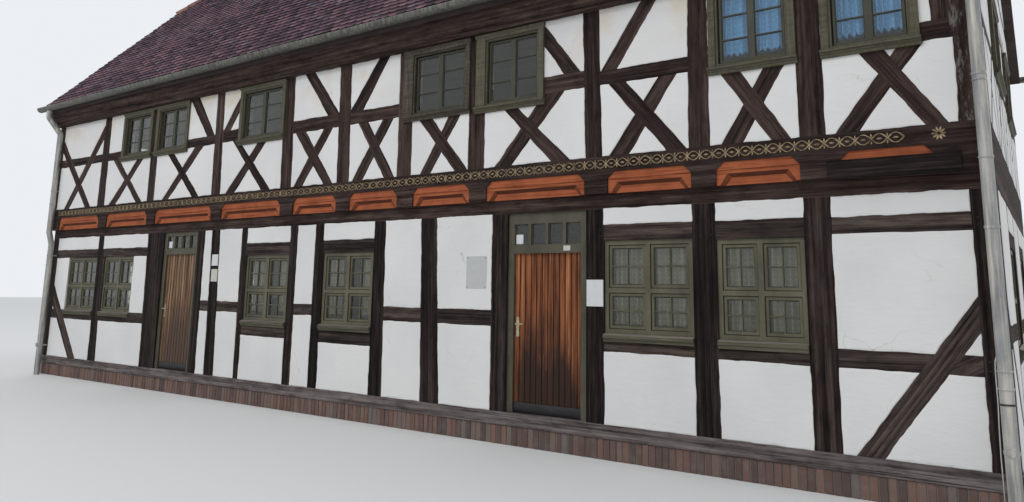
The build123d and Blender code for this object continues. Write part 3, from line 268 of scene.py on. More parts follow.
class Finish:
    """A procedural material being built: nodes are put in, joined, and led to its surface."""

    def __init__(self, name, roughness=0.6, metallic=0.0, gloss=0.5):
        self.material = bpy.data.materials.new(name)
        self.material.use_nodes = True
        self.tree = self.material.node_tree
        self.surface = self.tree.nodes["Principled BSDF"]
        self.surface.inputs["Roughness"].default_value = roughness
        self.surface.inputs["Metallic"].default_value = metallic
        self.surface.inputs["Specular IOR Level"].default_value = gloss
        self.place = self.put("ShaderNodeTexCoord").outputs["Object"]

    def put(self, kind, links=None, **settings):
        """A new node of a kind, with a link or a constant for each input that is named."""
        node = self.tree.nodes.new(kind)
        for key, value in settings.items():
            setattr(node, key, value)
        for key, value in (links or {}).items():
            self.join(value, node.inputs[key])
        return node

    def join(self, value, socket):
        """Link a value to a socket, or set it there when it is a constant."""
        if isinstance(value, bpy.types.NodeSocket):
            self.tree.links.new(value, socket)
        elif isinstance(value, tuple) and socket.type == "RGBA":
            socket.default_value = (*value, 1)
        else:
            socket.default_value = value

    def math(self, operation, first, second=0.5):
        return self.put("ShaderNodeMath", {0: first, 1: second}, operation=operation).outputs[0]

    def vector(self, operation, first, second):
        return self.put("ShaderNodeVectorMath", {0: first, 1: second}, operation=operation).outputs

    def times(self, first, second):
        return self.math("MULTIPLY", first, second)

    def plus(self, first, second):
        return self.math("ADD", first, second)

    def parts(self, vector):
        """The X, Y and Z of a vector."""
        return self.put("ShaderNodeSeparateXYZ", {0: vector}).outputs

    def normal(self):
        return self.put("ShaderNodeTexCoord").outputs["Normal"]

    def mark(self, name):
        """A number from the mesh's own points."""
        return self.put("ShaderNodeAttribute", attribute_name=name).outputs["Fac"]

    def noise(self, place, scale, detail=4.0, rough=0.55):
        return self.put("ShaderNodeTexNoise", {"Vector": place, "Scale": scale, "Detail": detail,
                                               "Roughness": rough}).outputs["Fac"]

    def scaled(self, place, scale):
        """A place with a scale for each axis."""
        return self.put("ShaderNodeMapping", {"Vector": place, "Scale": scale}).outputs[0]

    def stretched(self, place, scale, detail=4.0, rough=0.55):
        """Noise with a scale for each axis, so that a pattern follows the piece."""
        return self.noise(self.scaled(place, scale), 1.0, detail, rough)

    def ramp(self, value, stops):
        """Colours at places from 0 to 1 along a value."""
        node = self.put("ShaderNodeValToRGB", {"Fac": value})
        elements = node.color_ramp.elements
        while len(elements) < len(stops):
            elements.new(0.5)
        for element, (place, colour) in zip(elements, stops):
            element.position = place
            element.color = (*colour, 1)
        return node.outputs["Color"]

    def mask(self, value, start, end, top=1.0, foot=0.0):
        """From foot where a value is below start to top where it is over end."""
        return self.ramp(value, [(start, (foot,) * 3), (end, (top,) * 3)])

    def mix(self, amount, first, second, blend="MIX"):
        """From the first colour to the second by an amount."""
        node = self.put("ShaderNodeMix", data_type="RGBA", blend_type=blend)
        for value, place in ((amount, 0), (first, 6), (second, 7)):
            self.join(value, node.inputs[place])
        return node.outputs[2]

    def tint(self, first, second):
        """One colour times another."""
        return self.mix(1.0, first, second, "MULTIPLY")

    def colour(self, value):
        self.join(value, self.surface.inputs["Base Color"])

    def bump(self, height, depth, strength=1.0):
        node = self.put("ShaderNodeBump", {"Height": height, "Distance": depth, "Strength": strength})
        self.join(node.outputs["Normal"], self.surface.inputs["Normal"])

    def ranged(self, value, low, high, to_low, to_high):
        """From to_low at a value of low to to_high at one of high."""
        return self.put("ShaderNodeMapRange", {"Value": value, "From Min": low, "From Max": high,
                                               "To Min": to_low, "To Max": to_high}).outputs[0]

    def rough(self, value, low, high):
        """Roughness from low to high along a value from 0 to 1."""
        self.join(self.ranged(value, 0.0, 1.0, low, high), self.surface.inputs["Roughness"])

    def wall_place(self):
        """Along, into and up a wall: the level line in the wall's own face, the face's depth, and the height.

        Along is x times minus the normal's y plus y times its x, so it runs to the right on every side, and
        depth is the place's part along the normal. On level faces x and y are added to them instead.
        """
        normal = self.normal()
        cross = self.vector("CROSS_PRODUCT", normal, self.place)["Vector"]
        dot = self.vector("DOT_PRODUCT", normal, self.place)["Value"]
        up = self.parts(normal)["Z"]
        flat = self.times(up, up)
        x, y, z = self.parts(self.place)
        along = self.plus(self.parts(cross)["Z"], self.times(flat, x))
        depth = self.plus(dot, self.times(flat, y))
        return self.put("ShaderNodeCombineXYZ", {0: along, 1: depth, 2: z}).outputs[0]

    def upstairs_past(self, start):
        """1 over the upper sill and to the right of start, and 0 elsewhere."""
        x, _, z = self.parts(self.place)
        return self.times(self.math("GREATER_THAN", x, start), self.math("GREATER_THAN", z, UPPER_HIGH[2]))


# Stain on the oak, from its cracks to its bare ridges
GROUND_OAK = (0.0050, 0.0034, 0.0032), (0.0170, 0.0115, 0.0105), (0.056, 0.041, 0.036)
RAIL_OAK = (0.014, 0.0103, 0.0091), (0.044, 0.0325, 0.0290), (0.104, 0.082, 0.070)
UPPER_OAK = (0.014, 0.0086, 0.0076), (0.039, 0.0252, 0.0220), (0.080, 0.055, 0.047)
SILL_OAK = (0.055, 0.045, 0.044), (0.125, 0.105, 0.101), (0.225, 0.200, 0.190)
OAK_BLEACHED = (0.16, 0.145, 0.135)
BLEACHED_X = EAVE_HIGH[0] - 0.26

# Where single finishes change: the old casing, the pair of upper windows with blue nets, how far the
# stain on the plaster reaches below the eaves, and the arch of a door's worn foot
OLD_CASING_X = LEFT_CORNER + 11.33
OLD_CASING_REACH = 0.68
BLUE_PANES_X = LEFT_CORNER + 15.3
EAVE_STAIN = 0.75
FOOT_ARCH = 3.2
FOOT_FADE = 0.75
FLOOR_BOARD_W = 0.18
CRACK_W = 0.0022


def oak(name, shades, bleached=0.0):
    """Stained oak: long streaks of noise along each timber's own slope, with checks, dents and worn ridges.

    Along the grain is level place times the slope's sine plus height times its cosine, and across it the
    turn of that. Each timber is as dark as its tone says. Where bleached is over 0 the wood by the right
    corner of the upper storey has lost its stain in spots.
    """
    dark, mid, pale = shades
    finish = Finish(name, 0.85, gloss=0.12)
    place = finish.wall_place()
    tone, slope = finish.mark("tone"), finish.mark("slope")
    level, depth, height = finish.parts(place)
    sine, cosine = finish.math("SINE", slope), finish.math("COSINE", slope)
    across = finish.math("SUBTRACT", finish.times(level, cosine), finish.times(height, sine))
    along = finish.plus(finish.times(level, sine), finish.times(height, cosine))
    inward = finish.plus(depth, finish.times(tone, 31.0))
    grain = finish.put("ShaderNodeCombineXYZ", {0: across, 1: inward, 2: along}).outputs[0]
    streak = finish.stretched(grain, (19, 5, 0.36), 8, 0.66)
    fine = finish.stretched(grain, (85, 20, 1.1), 5, 0.6)
    worn = finish.stretched(grain, (11, 3, 0.9), 7, 0.66)
    hewn = finish.stretched(grain, (13, 3, 3.4), 6, 0.68)
    streaks = finish.ramp(streak, [(0.36, dark), (0.49, mid), (0.66, pale)])
    checks = finish.ramp(fine, [(0.33, (0.22, 0.20, 0.19)), (0.43, WHITE)])
    dents = finish.ramp(hewn, [(0.34, (0.50, 0.48, 0.47)), (0.52, WHITE), (0.70, (1.30, 1.28, 1.26))])
    each = finish.ramp(tone, [(0.0, (0.62, 0.60, 0.60)), (0.6, WHITE), (1.0, (1.22, 1.20, 1.18))])
    toned = finish.tint(finish.tint(finish.tint(streaks, checks), dents), each)
    wood = finish.mix(finish.mask(worn, 0.54, 0.76, 0.5), toned, pale)
    if bleached:
        here = finish.times(finish.upstairs_past(BLEACHED_X), bleached)
        spots = finish.mask(finish.stretched(place, (14, 4, 4.5), 9, 0.78), 0.50, 0.60)
        wood = finish.mix(finish.times(here, spots), wood, OAK_BLEACHED)
    finish.colour(wood)
    relief = finish.plus(finish.plus(streak, finish.times(hewn, 0.7)), finish.times(fine, 0.6))
    finish.bump(relief, 0.014, 0.9)
    finish.rough(worn, 0.74, 0.94)
    return finish.material


def cracks(finish):
    """How much of a hairline crack there is: the borders of wide cells, bent by noise, in some areas only."""
    bends = finish.put("ShaderNodeTexNoise", {"Vector": finish.place, "Scale": 2.5, "Detail": 6.0})
    bent = finish.mix(0.3, finish.place, bends.outputs["Color"])
    cells = finish.put("ShaderNodeTexVoronoi", {"Vector": bent, "Scale": 1.3}, feature="DISTANCE_TO_EDGE")
    line = finish.math("LESS_THAN", cells.outputs["Distance"], CRACK_W)
    return finish.times(line, finish.mask(finish.noise(finish.place, 1.1, 4, 0.6), 0.52, 0.62, 0.45))


def limewash():
    """White plaster: float marks as bump, faint clouds, cracks and dirty runs, a warm stain by the eaves."""
    finish = Finish("white_limewash", 0.92, gloss=0.2)
    clouds = finish.noise(finish.place, 0.7, 4, 0.55)
    runs = finish.stretched(finish.wall_place(), (9, 1, 0.5), 5, 0.65)
    base = finish.ramp(clouds, [(0.30, (0.605, 0.598, 0.590)), (0.62, (0.675, 0.665, 0.655))])
    soil = finish.ramp(runs, [(0.26, (0.975, 0.972, 0.965)), (0.42, WHITE)])
    white = finish.mix(cracks(finish), finish.tint(base, soil), (0.36, 0.34, 0.32))
    height = finish.parts(finish.place)["Z"]
    rise = finish.ranged(height, EAVE_LOW[2] - EAVE_STAIN, EAVE_LOW[2], 0.0, 0.9)
    near_eave = finish.times(rise, finish.math("LESS_THAN", height, EAVE_HIGH[2]))
    damp = finish.mask(finish.noise(finish.place, 1.6, 5, 0.6), 0.47, 0.62)
    finish.colour(finish.mix(finish.times(near_eave, damp), white, (0.60, 0.53, 0.42)))
    marks = finish.noise(finish.scaled(finish.place, (1, 1, 2.2)), 7.0, 6, 0.6)
    grain = finish.noise(finish.place, 120.0, 3, 0.6)
    finish.bump(finish.plus(marks, finish.times(grain, 0.12)), 0.011, 0.5)
    return finish.material


def painted(name, colour, worn, roughness=0.5):
    """Oil paint on wood: the colour in soft patches, thinner and paler where it has worn."""
    finish = Finish(name, roughness, gloss=0.3)
    place = finish.wall_place()
    patches = finish.noise(finish.scaled(place, (1, 1, 0.5)), 3.4, 6, 0.65)
    wear = finish.mask(finish.noise(place, 9.0, 8, 0.7), 0.56, 0.70)
    base = finish.mix(finish.mask(patches, 0.34, 0.62), tuple(part * 0.58 for part in colour), colour)
    finish.colour(finish.mix(finish.times(wear, 0.35), base, worn))
    finish.bump(finish.stretched(place, (34, 34, 3), 5, 0.6), 0.003, 0.5)
    finish.rough(patches, roughness - 0.08, roughness + 0.12)
    return finish.material


def fillet_paint():
    """Red earth paint on the moulded fillets: streaks along them, and painted shade on the faces that look up
    or down.
    """
    finish = Finish("terracotta_fillet_paint", 0.7, gloss=0.1)
    place = finish.wall_place()
    grain = finish.stretched(place, (1.8, 30, 46), 6, 0.62)
    patches = finish.noise(place, 3.2, 6, 0.62)
    base = finish.ramp(patches, [(0.32, (0.25, 0.068, 0.030)), (0.66, (0.37, 0.108, 0.046))])
    red = finish.tint(base, finish.ramp(grain, [(0.34, (0.55, 0.48, 0.44)), (0.50, WHITE)]))
    # Painted shade: faces that look up or down, such as the tops of the grooves and the steps, go near
    # black-brown
    shade_facing = finish.math("ABSOLUTE", finish.parts(finish.normal())["Z"])
    finish.colour(finish.mix(finish.mask(shade_facing, 0.15, 0.45, 0.78), red, (0.030, 0.014, 0.010)))
    finish.bump(grain, 0.004, 0.5)
    return finish.material


def casing_paint():
    """Olive paint on the upper casings, washed off to grey wood on the oldest one."""
    finish = Finish("weathered_casing_paint", 0.65, gloss=0.2)
    place = finish.wall_place()
    aside = finish.math("ABSOLUTE", finish.math("SUBTRACT", finish.parts(finish.place)["X"], OLD_CASING_X))
    old = finish.math("LESS_THAN", aside, OLD_CASING_REACH)
    upright = finish.stretched(place, (38, 38, 2.6), 6, 0.62)
    level = finish.stretched(place, (2.6, 38, 38), 6, 0.62)
    both = finish.times(finish.plus(upright, level), 0.5)
    wood = finish.ramp(both, [(0.34, (0.018, 0.014, 0.011)), (0.50, (0.050, 0.039, 0.030)),
                              (0.66, (0.118, 0.096, 0.075))])
    paint = finish.ramp(both, [(0.34, (0.038, 0.035, 0.022)), (0.50, (0.080, 0.073, 0.047)),
                               (0.68, (0.115, 0.106, 0.074))])
    thin = finish.times(finish.mask(finish.noise(place, 6.0, 8, 0.7), 0.52, 0.66), 0.35)
    finish.colour(finish.mix(finish.math("MAXIMUM", thin, finish.times(old, 0.85)), paint, wood))
    finish.bump(both, 0.004, 0.6)
    return finish.material


def sill_paint():
    """Window sills: bleached wood where they look up, olive paint below."""
    finish = Finish("bleached_sill_board", 0.7, gloss=0.2)
    place = finish.wall_place()
    grain = finish.stretched(place, (0.9, 34, 70), 5, 0.55)
    wood = finish.ramp(grain, [(0.34, (0.085, 0.070, 0.059)), (0.64, (0.21, 0.185, 0.16))])
    paint = finish.ramp(grain, [(0.34, (0.045, 0.042, 0.027)), (0.64, (0.100, 0.094, 0.060))])
    up = finish.mask(finish.parts(finish.normal())["Z"], 0.10, 0.30)
    patches = finish.noise(finish.scaled(place, (0.5, 1, 3)), 5.0, 5, 0.6)
    wear = finish.times(finish.mask(patches, 0.50, 0.66), 0.35)
    finish.colour(finish.mix(finish.math("MAXIMUM", up, wear), paint, wood))
    finish.bump(grain, 0.004, 0.6)
    return finish.material


def roof_tile():
    """Fired clay plain tiles: one tone each from their attribute, painted light at their tails and painted
    shade up under the course above, with dark weathering and lichen specks.
    """
    finish = Finish("weathered_clay_tile", 0.85, gloss=0.25)
    each = finish.ramp(finish.mark("tone"), [
        (0.0, (0.046, 0.024, 0.038)), (0.35, (0.124, 0.064, 0.090)), (0.6, (0.190, 0.098, 0.130)),
        (0.82, (0.285, 0.146, 0.166)), (1.0, (0.185, 0.146, 0.204))])
    # Painted light and shade from the covered share: lighter at the tail, darker up towards the course above,
    # darkest on the underside and tail edge
    course_light_and_shade = finish.ramp(finish.mark("covered"), [
        (0.02, (1.12, 1.12, 1.12)), (0.20, (0.66, 0.65, 0.67)), (0.44, (0.17, 0.16, 0.17))])
    soot = finish.ramp(finish.noise(finish.place, 0.9, 6, 0.65), [(0.35, (0.58, 0.56, 0.59)), (0.62, WHITE)])
    specks = finish.mask(finish.noise(finish.place, 16.0, 6, 0.7), 0.66, 0.74)
    base = finish.tint(finish.tint(each, course_light_and_shade), soot)
    finish.colour(finish.mix(finish.times(specks, 0.35), base, (0.12, 0.115, 0.10)))
    finish.bump(finish.noise(finish.place, 60.0, 5, 0.6), 0.004, 0.6)
    return finish.material


def ridge_tile():
    """The lighter, redder clay of the ridge and hip tiles."""
    finish = Finish("ridge_clay_tile", 0.8)
    each = finish.ramp(finish.mark("tone"), [
        (0.0, (0.16, 0.075, 0.060)), (0.5, (0.23, 0.105, 0.078)), (1.0, (0.29, 0.150, 0.110))])
    soot = finish.ramp(finish.noise(finish.place, 3.0, 6, 0.65), [(0.35, (0.60, 0.58, 0.58)), (0.65, WHITE)])
    finish.colour(finish.tint(each, soot))
    finish.bump(finish.noise(finish.place, 50.0, 5, 0.6), 0.004, 0.6)
    return finish.material


def roof_boards():
    """Dark boards and felt under the tiles, as the verge shows them."""
    finish = Finish("roof_underside", 0.9)
    streaks = finish.noise(finish.scaled(finish.place, (2, 9, 9)), 1.4, 6, 0.6)
    finish.colour(finish.ramp(streaks, [(0.3, (0.028, 0.020, 0.018)), (0.7, (0.060, 0.045, 0.040))]))
    finish.bump(streaks, 0.006, 0.6)
    return finish.material


def plinth_brick():
    """Brick on edge: one tone for each brick from its attribute, with pale salts."""
    finish = Finish("plinth_brick", 0.88)
    each = finish.ramp(finish.mark("tone"), [
        (0.0, (0.075, 0.050, 0.044)), (0.4, (0.128, 0.072, 0.058)), (0.75, (0.170, 0.095, 0.072)),
        (1.0, (0.125, 0.105, 0.095))])
    salts = finish.mask(finish.noise(finish.place, 7.0, 7, 0.68), 0.50, 0.78)
    finish.colour(finish.mix(finish.times(salts, 0.4), each, (0.21, 0.195, 0.175)))
    finish.bump(finish.noise(finish.place, 45.0, 6, 0.65), 0.006, 0.8)
    return finish.material


def lime_mortar():
    """Sandy mortar, darker in damp clouds."""
    finish = Finish("lime_mortar", 0.95)
    sand = finish.noise(finish.place, 90.0, 4, 0.6)
    base = finish.ramp(sand, [(0.3, (0.115, 0.108, 0.098)), (0.7, (0.20, 0.19, 0.17))])
    damp = finish.mask(finish.noise(finish.place, 2.0, 5, 0.6), 0.4, 0.7, top=0.0, foot=0.5)
    finish.colour(finish.mix(damp, base, (0.12, 0.11, 0.10)))
    finish.bump(sand, 0.004, 0.7)
    return finish.material


def zinc_sheet(name, shades):
    """Weathered zinc: patina in clouds of three shades, with runs of a fourth down it."""
    finish = Finish(name, 0.5, 0.35)
    clouds = finish.noise(finish.place, 2.3, 6, 0.6)
    runs = finish.stretched(finish.place, (20, 20, 1.2), 5, 0.6)
    base = finish.ramp(clouds, [(0.3, shades[0]), (0.55, shades[1]), (0.75, shades[2])])
    finish.colour(finish.mix(finish.mask(runs, 0.44, 0.66, 0.7), base, shades[3]))
    finish.bump(clouds, 0.004, 0.3)
    finish.rough(clouds, 0.42, 0.66)
    return finish.material


def door_boards(name, shades, foot_shade, foot_top, middle):
    """Varnished boards: grain up the board, dark seams from their attribute, and a worn foot up to foot_top.

    The worn patch is an arch: its edge falls by FOOT_ARCH times the square of the way from the door's middle,
    and fades over FOOT_FADE.
    """
    finish = Finish(name, 0.6, gloss=0.18)
    tone = finish.mark("tone")
    shift = finish.put("ShaderNodeCombineXYZ", {0: finish.times(tone, 9.0)}).outputs[0]
    moved = finish.vector("ADD", finish.place, shift)["Vector"]
    grain = finish.stretched(moved, (46, 6, 1.1), 7, 0.66)
    base = finish.ramp(grain, [(0.36, shades[0]), (0.50, shades[1]), (0.66, shades[2])])
    each = finish.ramp(tone, [(0.0, (0.66, 0.60, 0.56)), (1.0, WHITE)])
    clouds = finish.stretched(moved, (10, 3, 0.5), 6, 0.7)
    soot = finish.ramp(clouds, [(0.40, (0.45, 0.40, 0.38)), (0.56, WHITE)])
    toned = finish.tint(finish.tint(base, each), soot)
    x, _, z = finish.parts(finish.place)
    aside = finish.math("SUBTRACT", x, middle)
    arch = finish.times(finish.times(aside, aside), FOOT_ARCH)
    blots = finish.math("SUBTRACT", finish.stretched(finish.place, (4.5, 2, 1.2), 6, 0.68), 0.5)
    uneven = finish.plus(finish.times(blots, 1.9), finish.math("SUBTRACT", grain, 0.5))
    height = finish.plus(finish.plus(z, arch), uneven)
    foot = finish.ranged(height, SILL_TOP + foot_top - FOOT_FADE, SILL_TOP + foot_top, 0.92, 0.0)
    seam = finish.times(finish.mark("seam"), 0.8)
    finish.colour(finish.mix(seam, finish.mix(foot, toned, foot_shade), (0.012, 0.008, 0.006)))
    finish.bump(grain, 0.004, 0.6)
    finish.rough(grain, 0.48, 0.72)
    return finish.material


def window_glass():
    """Thin old panes with a faint ripple: grey-green, and bluer in the two upper windows by the corner."""
    finish = Finish("old_window_glass", 0.04)
    finish.colour(finish.mix(finish.upstairs_past(BLUE_PANES_X), (0.68, 0.70, 0.63), (0.66, 0.87, 1.0)))
    finish.surface.inputs["Transmission Weight"].default_value = 1.0
    finish.surface.inputs["IOR"].default_value = 1.5
    finish.bump(finish.noise(finish.place, 5.0, 2, 0.5), 0.004, 0.15)
    return finish.material


def brass_metal():
    """Brass with tarnish, which also sets how rough it is."""
    finish = Finish("aged_brass", 0.38, 0.8)
    tarnish = finish.noise(finish.place, 38.0, 5, 0.6)
    finish.colour(finish.ramp(tarnish, [(0.35, (0.33, 0.26, 0.16)), (0.6, (0.60, 0.52, 0.36))]))
    finish.rough(tarnish, 0.26, 0.5)
    return finish.material


def gilt_paint():
    """Dull gold paint that has rubbed off here and there."""
    finish = Finish("rubbed_gilt_paint", 0.6, gloss=0.2)
    rubbed = finish.noise(finish.place, 18.0, 6, 0.7)
    finish.colour(finish.ramp(rubbed, [(0.36, (0.060, 0.044, 0.030)), (0.50, (0.235, 0.175, 0.095)),
                                       (0.68, (0.40, 0.31, 0.18))]))
    return finish.material


def painted_gap_shade():
    """Painted shade in the gap round a sash: near black, with faint specks."""
    finish = Finish("painted_sash_gap_shade", 0.95, gloss=0.05)
    gap_specks = finish.noise(finish.place, 30.0, 5, 0.6)
    finish.colour(finish.ramp(gap_specks, [(0.3, (0.006, 0.005, 0.004)), (0.7, (0.016, 0.014, 0.010))]))
    finish.bump(gap_specks, 0.001, 0.3)
    return finish.material


def bare_plate(name, colour):
    """Enamel of one colour in faint clouds."""
    finish = Finish(name, 0.45)
    clouds = finish.noise(finish.place, 14.0, 4, 0.55)
    finish.colour(finish.mix(clouds, tuple(part * 0.84 for part in colour), colour))
    finish.bump(clouds, 0.001, 0.2)
    return finish.material


def iron():
    """Dark iron with scale and a little rust."""
    finish = Finish("dark_iron", 0.6, 0.7)
    scale = finish.noise(finish.place, 60.0, 6, 0.65)
    finish.colour(finish.ramp(scale, [(0.35, (0.035, 0.032, 0.030)), (0.70, (0.11, 0.085, 0.065))]))
    finish.bump(scale, 0.002, 0.6)
    return finish.material


def floor_boards():
    """Worn indoor boards along the house with dark joints, stained as the oak is on their upright faces."""
    finish = Finish("indoor_floor_boards", 0.6)
    joint = finish.math("PINGPONG", finish.parts(finish.place)["Y"], FLOOR_BOARD_W / 2)
    line = finish.ramp(finish.times(joint, 10.0), [(0.0, (0.2, 0.18, 0.16)), (0.05, WHITE)])
    grain = finish.stretched(finish.place, (1.2, 30, 30), 6, 0.6)
    base = finish.ramp(grain, [(0.3, (0.13, 0.080, 0.045)), (0.7, (0.26, 0.17, 0.10))])
    streaks = finish.stretched(finish.wall_place(), (0.9, 1, 28), 7, 0.66)
    stained = finish.ramp(streaks, [(0.38, UPPER_OAK[0]), (0.50, UPPER_OAK[1]), (0.66, UPPER_OAK[2])])
    edge = finish.math("LESS_THAN", finish.math("ABSOLUTE", finish.parts(finish.normal())["Z"]), 0.5)
    finish.colour(finish.mix(edge, finish.tint(base, line), stained))
    finish.bump(line, 0.002, 0.5)
    return finish.material


def net_cloth(name, colour):
    """Machine net: an even mesh of threads along both sides of the cloth's own map, and woven spots."""
    finish = Finish(name, 0.95, gloss=0.1)
    cloth = finish.put("ShaderNodeTexCoord").outputs["UV"]
    threads = finish.stretched(cloth, (420, 90, 1), 2, 0.5)
    cells = finish.put("ShaderNodeTexVoronoi", {"Vector": cloth, "Scale": 16.0, "Randomness": 0.0})
    woven = finish.mask(cells.outputs["Distance"], 0.16, 0.22, top=0.78, foot=1.0)
    net = finish.ramp(threads, [(0.38, tuple(part * 0.72 for part in colour)), (0.60, colour)])
    finish.colour(finish.tint(net, woven))
    finish.bump(threads, 0.001, 0.4)
    return finish.material


FINISHES = {
    "post_oak": oak("ground_post_oak", GROUND_OAK),
    "rail_oak": oak("ground_rail_oak", RAIL_OAK),
    "upper_oak": oak("upper_oak", UPPER_OAK, bleached=0.8),
    "sill_oak": oak("grey_sill_oak", SILL_OAK),
    "limewash": limewash(),
    "sill_board": sill_paint(),
    "terracotta": fillet_paint(),
    "olive": painted("olive_window_paint", (0.116, 0.107, 0.067), (0.16, 0.15, 0.11)),
    "jamb": painted("olive_door_frame_paint", (0.080, 0.073, 0.048), (0.13, 0.12, 0.09)),
    "sash": painted("dark_olive_sash_paint", (0.052, 0.053, 0.034), (0.10, 0.093, 0.068), 0.45),
    "weatherboard": painted("dark_weatherboard_paint", (0.022, 0.021, 0.023), (0.07, 0.068, 0.07)),
    "gap": painted_gap_shade(),
    "casing": casing_paint(),
    "tile": roof_tile(),
    "ridge": ridge_tile(),
    "boards": roof_boards(),
    "brick": plinth_brick(),
    "mortar": lime_mortar(),
    "gutter_zinc": zinc_sheet("dull_gutter_zinc", (
        (0.055, 0.056, 0.048), (0.092, 0.092, 0.078), (0.135, 0.132, 0.112), (0.22, 0.21, 0.18))),
    "zinc": zinc_sheet("weathered_pipe_zinc", (
        (0.16, 0.165, 0.17), (0.29, 0.29, 0.285), (0.43, 0.42, 0.39), (0.62, 0.58, 0.49))),
    "bright_zinc": zinc_sheet("bright_collar_zinc", (
        (0.30, 0.305, 0.29), (0.45, 0.45, 0.43), (0.55, 0.55, 0.52), (0.66, 0.65, 0.62))),
    "right_door": door_boards("red_brown_door_boards", (
        (0.095, 0.033, 0.015), (0.29, 0.098, 0.037), (0.48, 0.192, 0.080)),
        (0.021, 0.0115, 0.0088), 1.46, DOOR_MIDDLE["right"]),
    "left_door": door_boards("brown_door_boards", (
        (0.105, 0.057, 0.031), (0.255, 0.150, 0.082), (0.42, 0.295, 0.185)),
        (0.075, 0.047, 0.033), 1.35, DOOR_MIDDLE["left"]),
    "glass": window_glass(),
    "brass": brass_metal(),
    "gilt": gilt_paint(),
    "white_plate": bare_plate("bare_white_plate", (0.62, 0.63, 0.64)),
    "cream_plate": bare_plate("bare_cream_plate", (0.52, 0.51, 0.45)),
    "pale_plate": bare_plate("bare_grey_plate", (0.47, 0.48, 0.47)),
    "iron": iron(),
    "floor": floor_boards(),
    "upper_net": net_cloth("pale_blue_net", (0.55, 0.78, 0.99)),
    "ground_net": net_cloth("grey_linen_net", (0.74, 0.71, 0.62)),
}

NODE_FINISH = {
    "plinth": "mortar", "sill_beams": "sill_oak", "ground_floor": "floor", "upper_floor": "floor",
    "attic_floor": "floor", "front_posts": "post_oak", "front_rails": "rail_oak",
    "ground_corner_braces": "rail_oak", "front_panels": "limewash", "front_upper_posts": "upper_oak",
    "front_upper_rails": "upper_oak", "front_leaning_braces": "upper_oak", "front_upper_panels": "limewash",
    "falling_cross_braces": "upper_oak", "rising_cross_braces": "upper_oak", "rear_posts": "upper_oak",
    "rear_rails": "upper_oak", "rear_panels": "limewash", "gable_posts": "upper_oak",
    "gable_rails": "upper_oak", "gable_panels": "limewash", "wall_plates": "upper_oak",
    "floor_joists": "upper_oak", "jetty_fillets": "terracotta", "jetty_cover_board": "post_oak",
    "upper_sills": "upper_oak", "eave_plates": "upper_oak", "sole_plates": "upper_oak",
    "eave_cornices": "upper_oak", "roof_front": "boards", "roof_rear": "boards", "half_hips": "boards",
    "ridge_tiles": "ridge", "gutters": "gutter_zinc", "downpipes": "zinc", "window_frames": "olive",
    "window_sills": "sill_board", "ground_sashes": "olive", "upper_casings": "casing", "upper_sashes": "sash",
    "window_glass": "glass", "door_jambs": "jamb", "door_transoms": "jamb", "door_top_glass": "glass",
    "door_hinge_pins": "iron", "left_door_leaf": "left_door", "left_door_fittings": "brass",
    "right_door_leaf": "right_door", "right_door_fittings": "brass",
}


def mark_timbers(name, seed):
    """Give every solid of a node a tone of its own, and the slope of its grain.

    The slope is the angle from upright, to the wall's right hand, of the longest axis of the solid's points.
    """
    rng = np.random.default_rng(seed)
    points, solid = solids(name)
    slope, tone = np.zeros(len(points)), np.zeros(len(points))
    for one in np.unique(solid):
        mine = solid == one
        group = np.unique(np.round(points[mine], 3), axis=0)
        middle = group.mean(axis=0)
        longest = np.linalg.svd(group - middle, full_matrices=False)[2][0]
        level = 0 if np.ptp(group[:, 0]) >= np.ptp(group[:, 1]) else 1
        front_or_right = middle[1] < 0 if level == 0 else middle[0] > 0
        slope[mine] = np.arctan2(longest[level] * (1 if front_or_right else -1), longest[2])
        tone[mine] = rng.uniform()
    add_mark(NODES[name].data, "slope", slope)
    add_mark(NODES[name].data, "tone", tone)


def finish_nodes():
    """Give every CAD node its material, and every oak one its marks."""
    for index, (name, finish) in enumerate(NODE_FINISH.items()):
        mesh = NODES[name].data
        mesh.materials.clear()
        mesh.materials.append(FINISHES[finish])
        if finish.endswith("oak"):
            mark_timbers(name, index)


# Plaster

SKIN_STEP = 0.035
SKIN_START = 0.006
SKIN_LAP = 0.003
SKIN_SWAY = 0.0045
SKIN_PROUD = 0.008
SKIN_SMALLEST = 0.01
SKIN_CORNER = 0.07
# A skin's rings from its back to its flat: way in from the outline, share of the swelling, and lift
SKIN_RINGS = ((0, 0, -0.003), (0, 0, 0.001), (0.003, 0.55, 0), (0.009, 0.88, 0), (0.022, 1, 0))


def resample(corners, step):
    """Points about every step along a closed outline, with its corners kept."""
    rows = []
    for start, end in zip(corners, np.roll(corners, -1, axis=0)):
        count = max(1, int(round(np.linalg.norm(end - start) / step)))
        rows.append(start + (end - start) * (np.arange(count)[:, None] / count))
    return np.concatenate(rows)


def flat_area(outline, right):
    """Area of an outline in a wall: half the sum of u times the next v less v times the next u."""
    u, v = outline @ right, outline[:, 2]
    return 0.5 * abs(np.sum(u * np.roll(v, -1) - v * np.roll(u, -1)))


def lid(points, right, first, turned):
    """Triangles that close a ring of points in a wall, whose numbers start at first."""
    flat = [Vector((float(p @ right), float(p[2]), 0)) for p in points]
    triangles = [(a + first, b + first, c + first) for a, b, c in tessellate_polygon([flat])]
    return [triangle[::-1] for triangle in triangles] if turned else triangles


